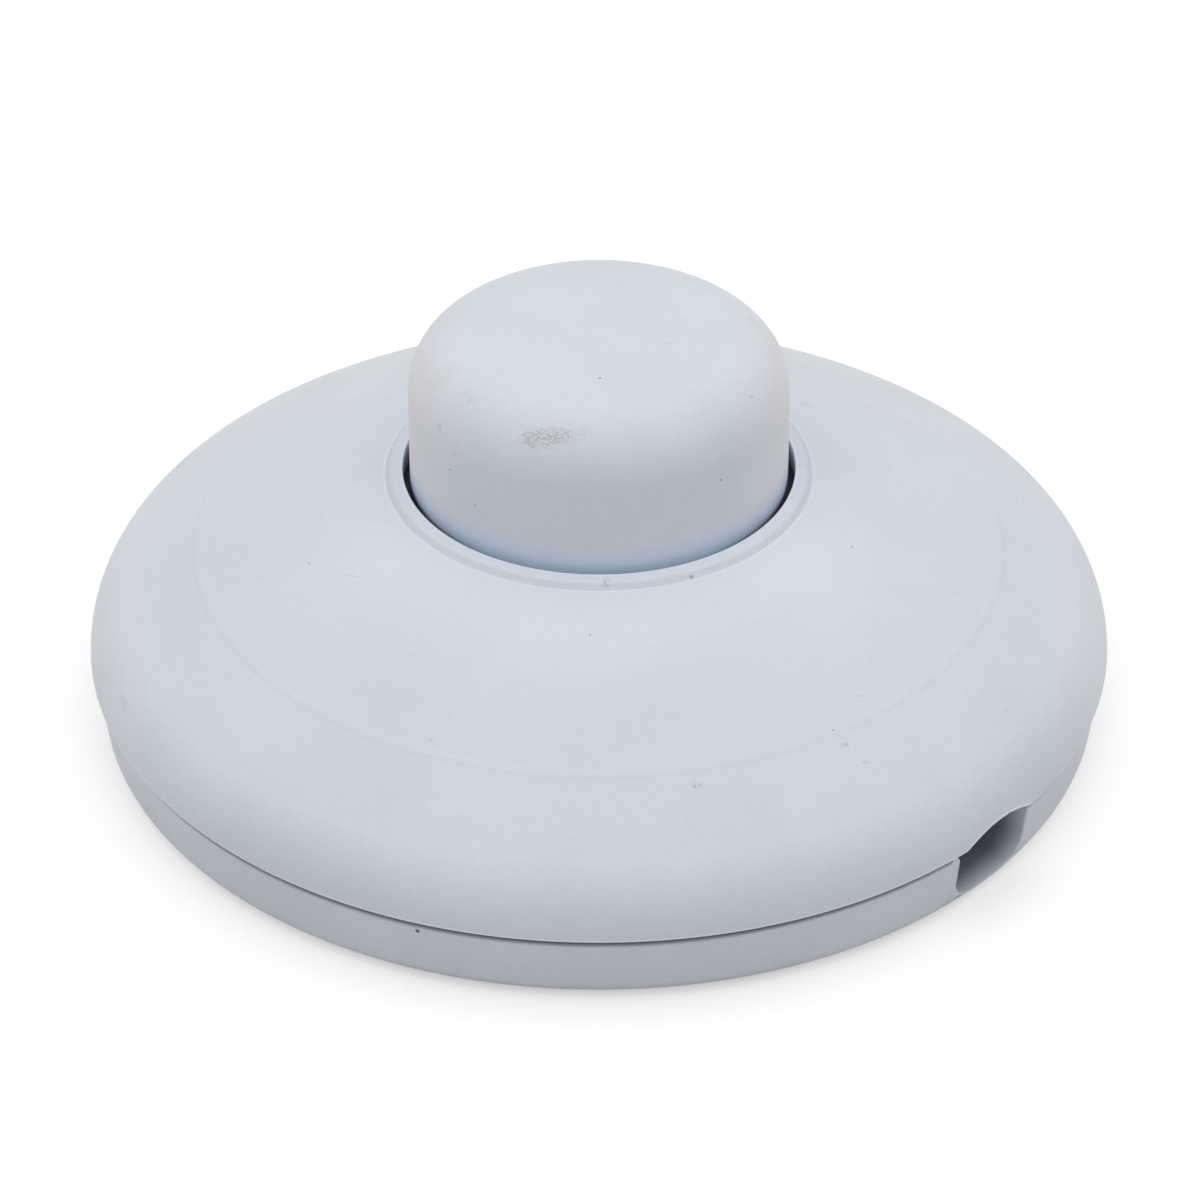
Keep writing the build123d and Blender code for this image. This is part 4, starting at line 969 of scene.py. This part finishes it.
nodeMaterials = {
    "drive_collar": darkMechanism, "contact_rotor": darkMechanism,
    "contact_star": stampedBrass, "switch_body": darkMechanism, "switch_body_screws": platedSteel,
    "detent_spring": springSteel, "live_inlet_contact": stampedBrass, "live_outlet_contact": stampedBrass,
    "live_inlet_screw": platedSteel, "live_outlet_screw": platedSteel, "neutral_block": stampedBrass,
    "neutral_screws": platedSteel, "earth_block": stampedBrass, "earth_screws": platedSteel,
    "inlet_cord_clamp": darkMechanism, "inlet_clamp_screws": platedSteel, "outlet_cord_clamp": darkMechanism,
    "outlet_clamp_screws": platedSteel, "case_screws": platedSteel, "rubber_feet": footRubber,
}
for node, material in nodeMaterials.items():
    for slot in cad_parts[node].material_slots:
        slot.link = "OBJECT"
        slot.material = material
print("materials placed")


# floor, light and camera

studio = {
    "floorSize": 6.0, "floorBounce": 0.55, "floorShadow": 0.7, "floorGlow": 0.43, "sky": 0.42,
    "lampWide": 5.2, "lampDeep": 3.6, "lampHeight": 1.0, "lampGlow": 0.66,
}


def seenDirectly(tree):  # 1 for camera, glossy and transmission rays
    path = tree.nodes.new("ShaderNodeLightPath")
    seen = sums(tree, "MAXIMUM", path.outputs["Is Camera Ray"], path.outputs["Is Glossy Ray"])
    return sums(tree, "MAXIMUM", seen, path.outputs["Is Transmission Ray"])


def makeFloor():
    bpy.ops.object.select_all(action="DESELECT")
    bpy.ops.mesh.primitive_plane_add(size=studio["floorSize"], location=(0, 0, 0))
    floor = bpy.context.object
    floor.name = floor.data.name = "paleFloor"
    material = bpy.data.materials.new("paleFloor")
    material.use_nodes = True
    tree = material.node_tree
    tree.nodes.remove(tree.nodes["Principled BSDF"])
    end = tree.nodes["Material Output"]
    bounce = tree.nodes.new("ShaderNodeBsdfDiffuse")
    bounce.inputs[0].default_value = (studio["floorBounce"],) * 3 + (1,)
    shadow = tree.nodes.new("ShaderNodeBsdfDiffuse")
    shadow.inputs[0].default_value = (studio["floorShadow"],) * 3 + (1,)
    glow = tree.nodes.new("ShaderNodeEmission")
    glow.inputs["Strength"].default_value = studio["floorGlow"]
    both = tree.nodes.new("ShaderNodeAddShader")
    tree.links.new(shadow.outputs[0], both.inputs[0])
    tree.links.new(glow.outputs[0], both.inputs[1])
    mix = tree.nodes.new("ShaderNodeMixShader")
    put(tree, mix.inputs[0], seenDirectly(tree))
    tree.links.new(bounce.outputs[0], mix.inputs[1])
    tree.links.new(both.outputs[0], mix.inputs[2])
    tree.links.new(mix.outputs[0], end.inputs[0])
    dress(floor, material)


def makeWorld():
    world = bpy.data.worlds.new("studioWorld")
    bpy.context.scene.world = world
    world.use_nodes = True
    tree = world.node_tree
    sky = tree.nodes["Background"]
    sky.inputs[0].default_value = (1, 1, 1, 1)
    sky.inputs[1].default_value = studio["sky"]
    backdrop = tree.nodes.new("ShaderNodeBackground")
    backdrop.inputs[0].default_value = (1, 1, 1, 1)
    backdrop.inputs[1].default_value = 1.0
    mix = tree.nodes.new("ShaderNodeMixShader")
    put(tree, mix.inputs[0], seenDirectly(tree))
    tree.links.new(sky.outputs[0], mix.inputs[1])
    tree.links.new(backdrop.outputs[0], mix.inputs[2])
    tree.links.new(mix.outputs[0], tree.nodes["World Output"].inputs[0])


makeFloor()
makeWorld()

view = {
    "turn": 41.2, "rise": 34.14, "distance": 0.5, "height": 0.015, "lens": 153.2, "sensor": 36,
    "drop": 0.00328, "side": 0.0001, "near": 0.01,
}
turn, rise = math.radians(view["turn"]), math.radians(view["rise"])
back = Vector((math.sin(turn) * math.cos(rise), -math.cos(turn) * math.cos(rise), math.sin(rise)))
right = Vector((math.cos(turn), math.sin(turn), 0))
up = Vector((-math.sin(turn) * math.sin(rise), math.cos(turn) * math.sin(rise), math.cos(rise)))
middle = Vector((0, 0, view["height"]))
eye = middle + back * view["distance"]
aim = middle - up * view["drop"] + right * view["side"]
bpy.ops.object.light_add(type="AREA", location=(0, 0, studio["lampHeight"]))
lamp = bpy.context.object
lamp.name = "softLamp"
lamp.data.shape = "ELLIPSE"
lamp.data.size, lamp.data.size_y = studio["lampWide"], studio["lampDeep"]
lampArea = math.pi * studio["lampWide"] * studio["lampDeep"] / 4
lamp.data.energy = studio["lampGlow"] * math.pi * lampArea
lamp.rotation_euler = (0, 0, turn)

bpy.ops.object.camera_add(location=eye)
camera = bpy.context.object
camera.name = "photoView"
camera.data.lens = view["lens"]
camera.data.sensor_width = view["sensor"]
camera.data.clip_start = view["near"]
camera.rotation_mode = "QUATERNION"
camera.rotation_quaternion = (aim - eye).to_track_quat("-Z", "Y")
bpy.context.scene.camera = camera
bpy.context.scene.view_settings.view_transform = "Standard"
print("floor, light and camera placed")
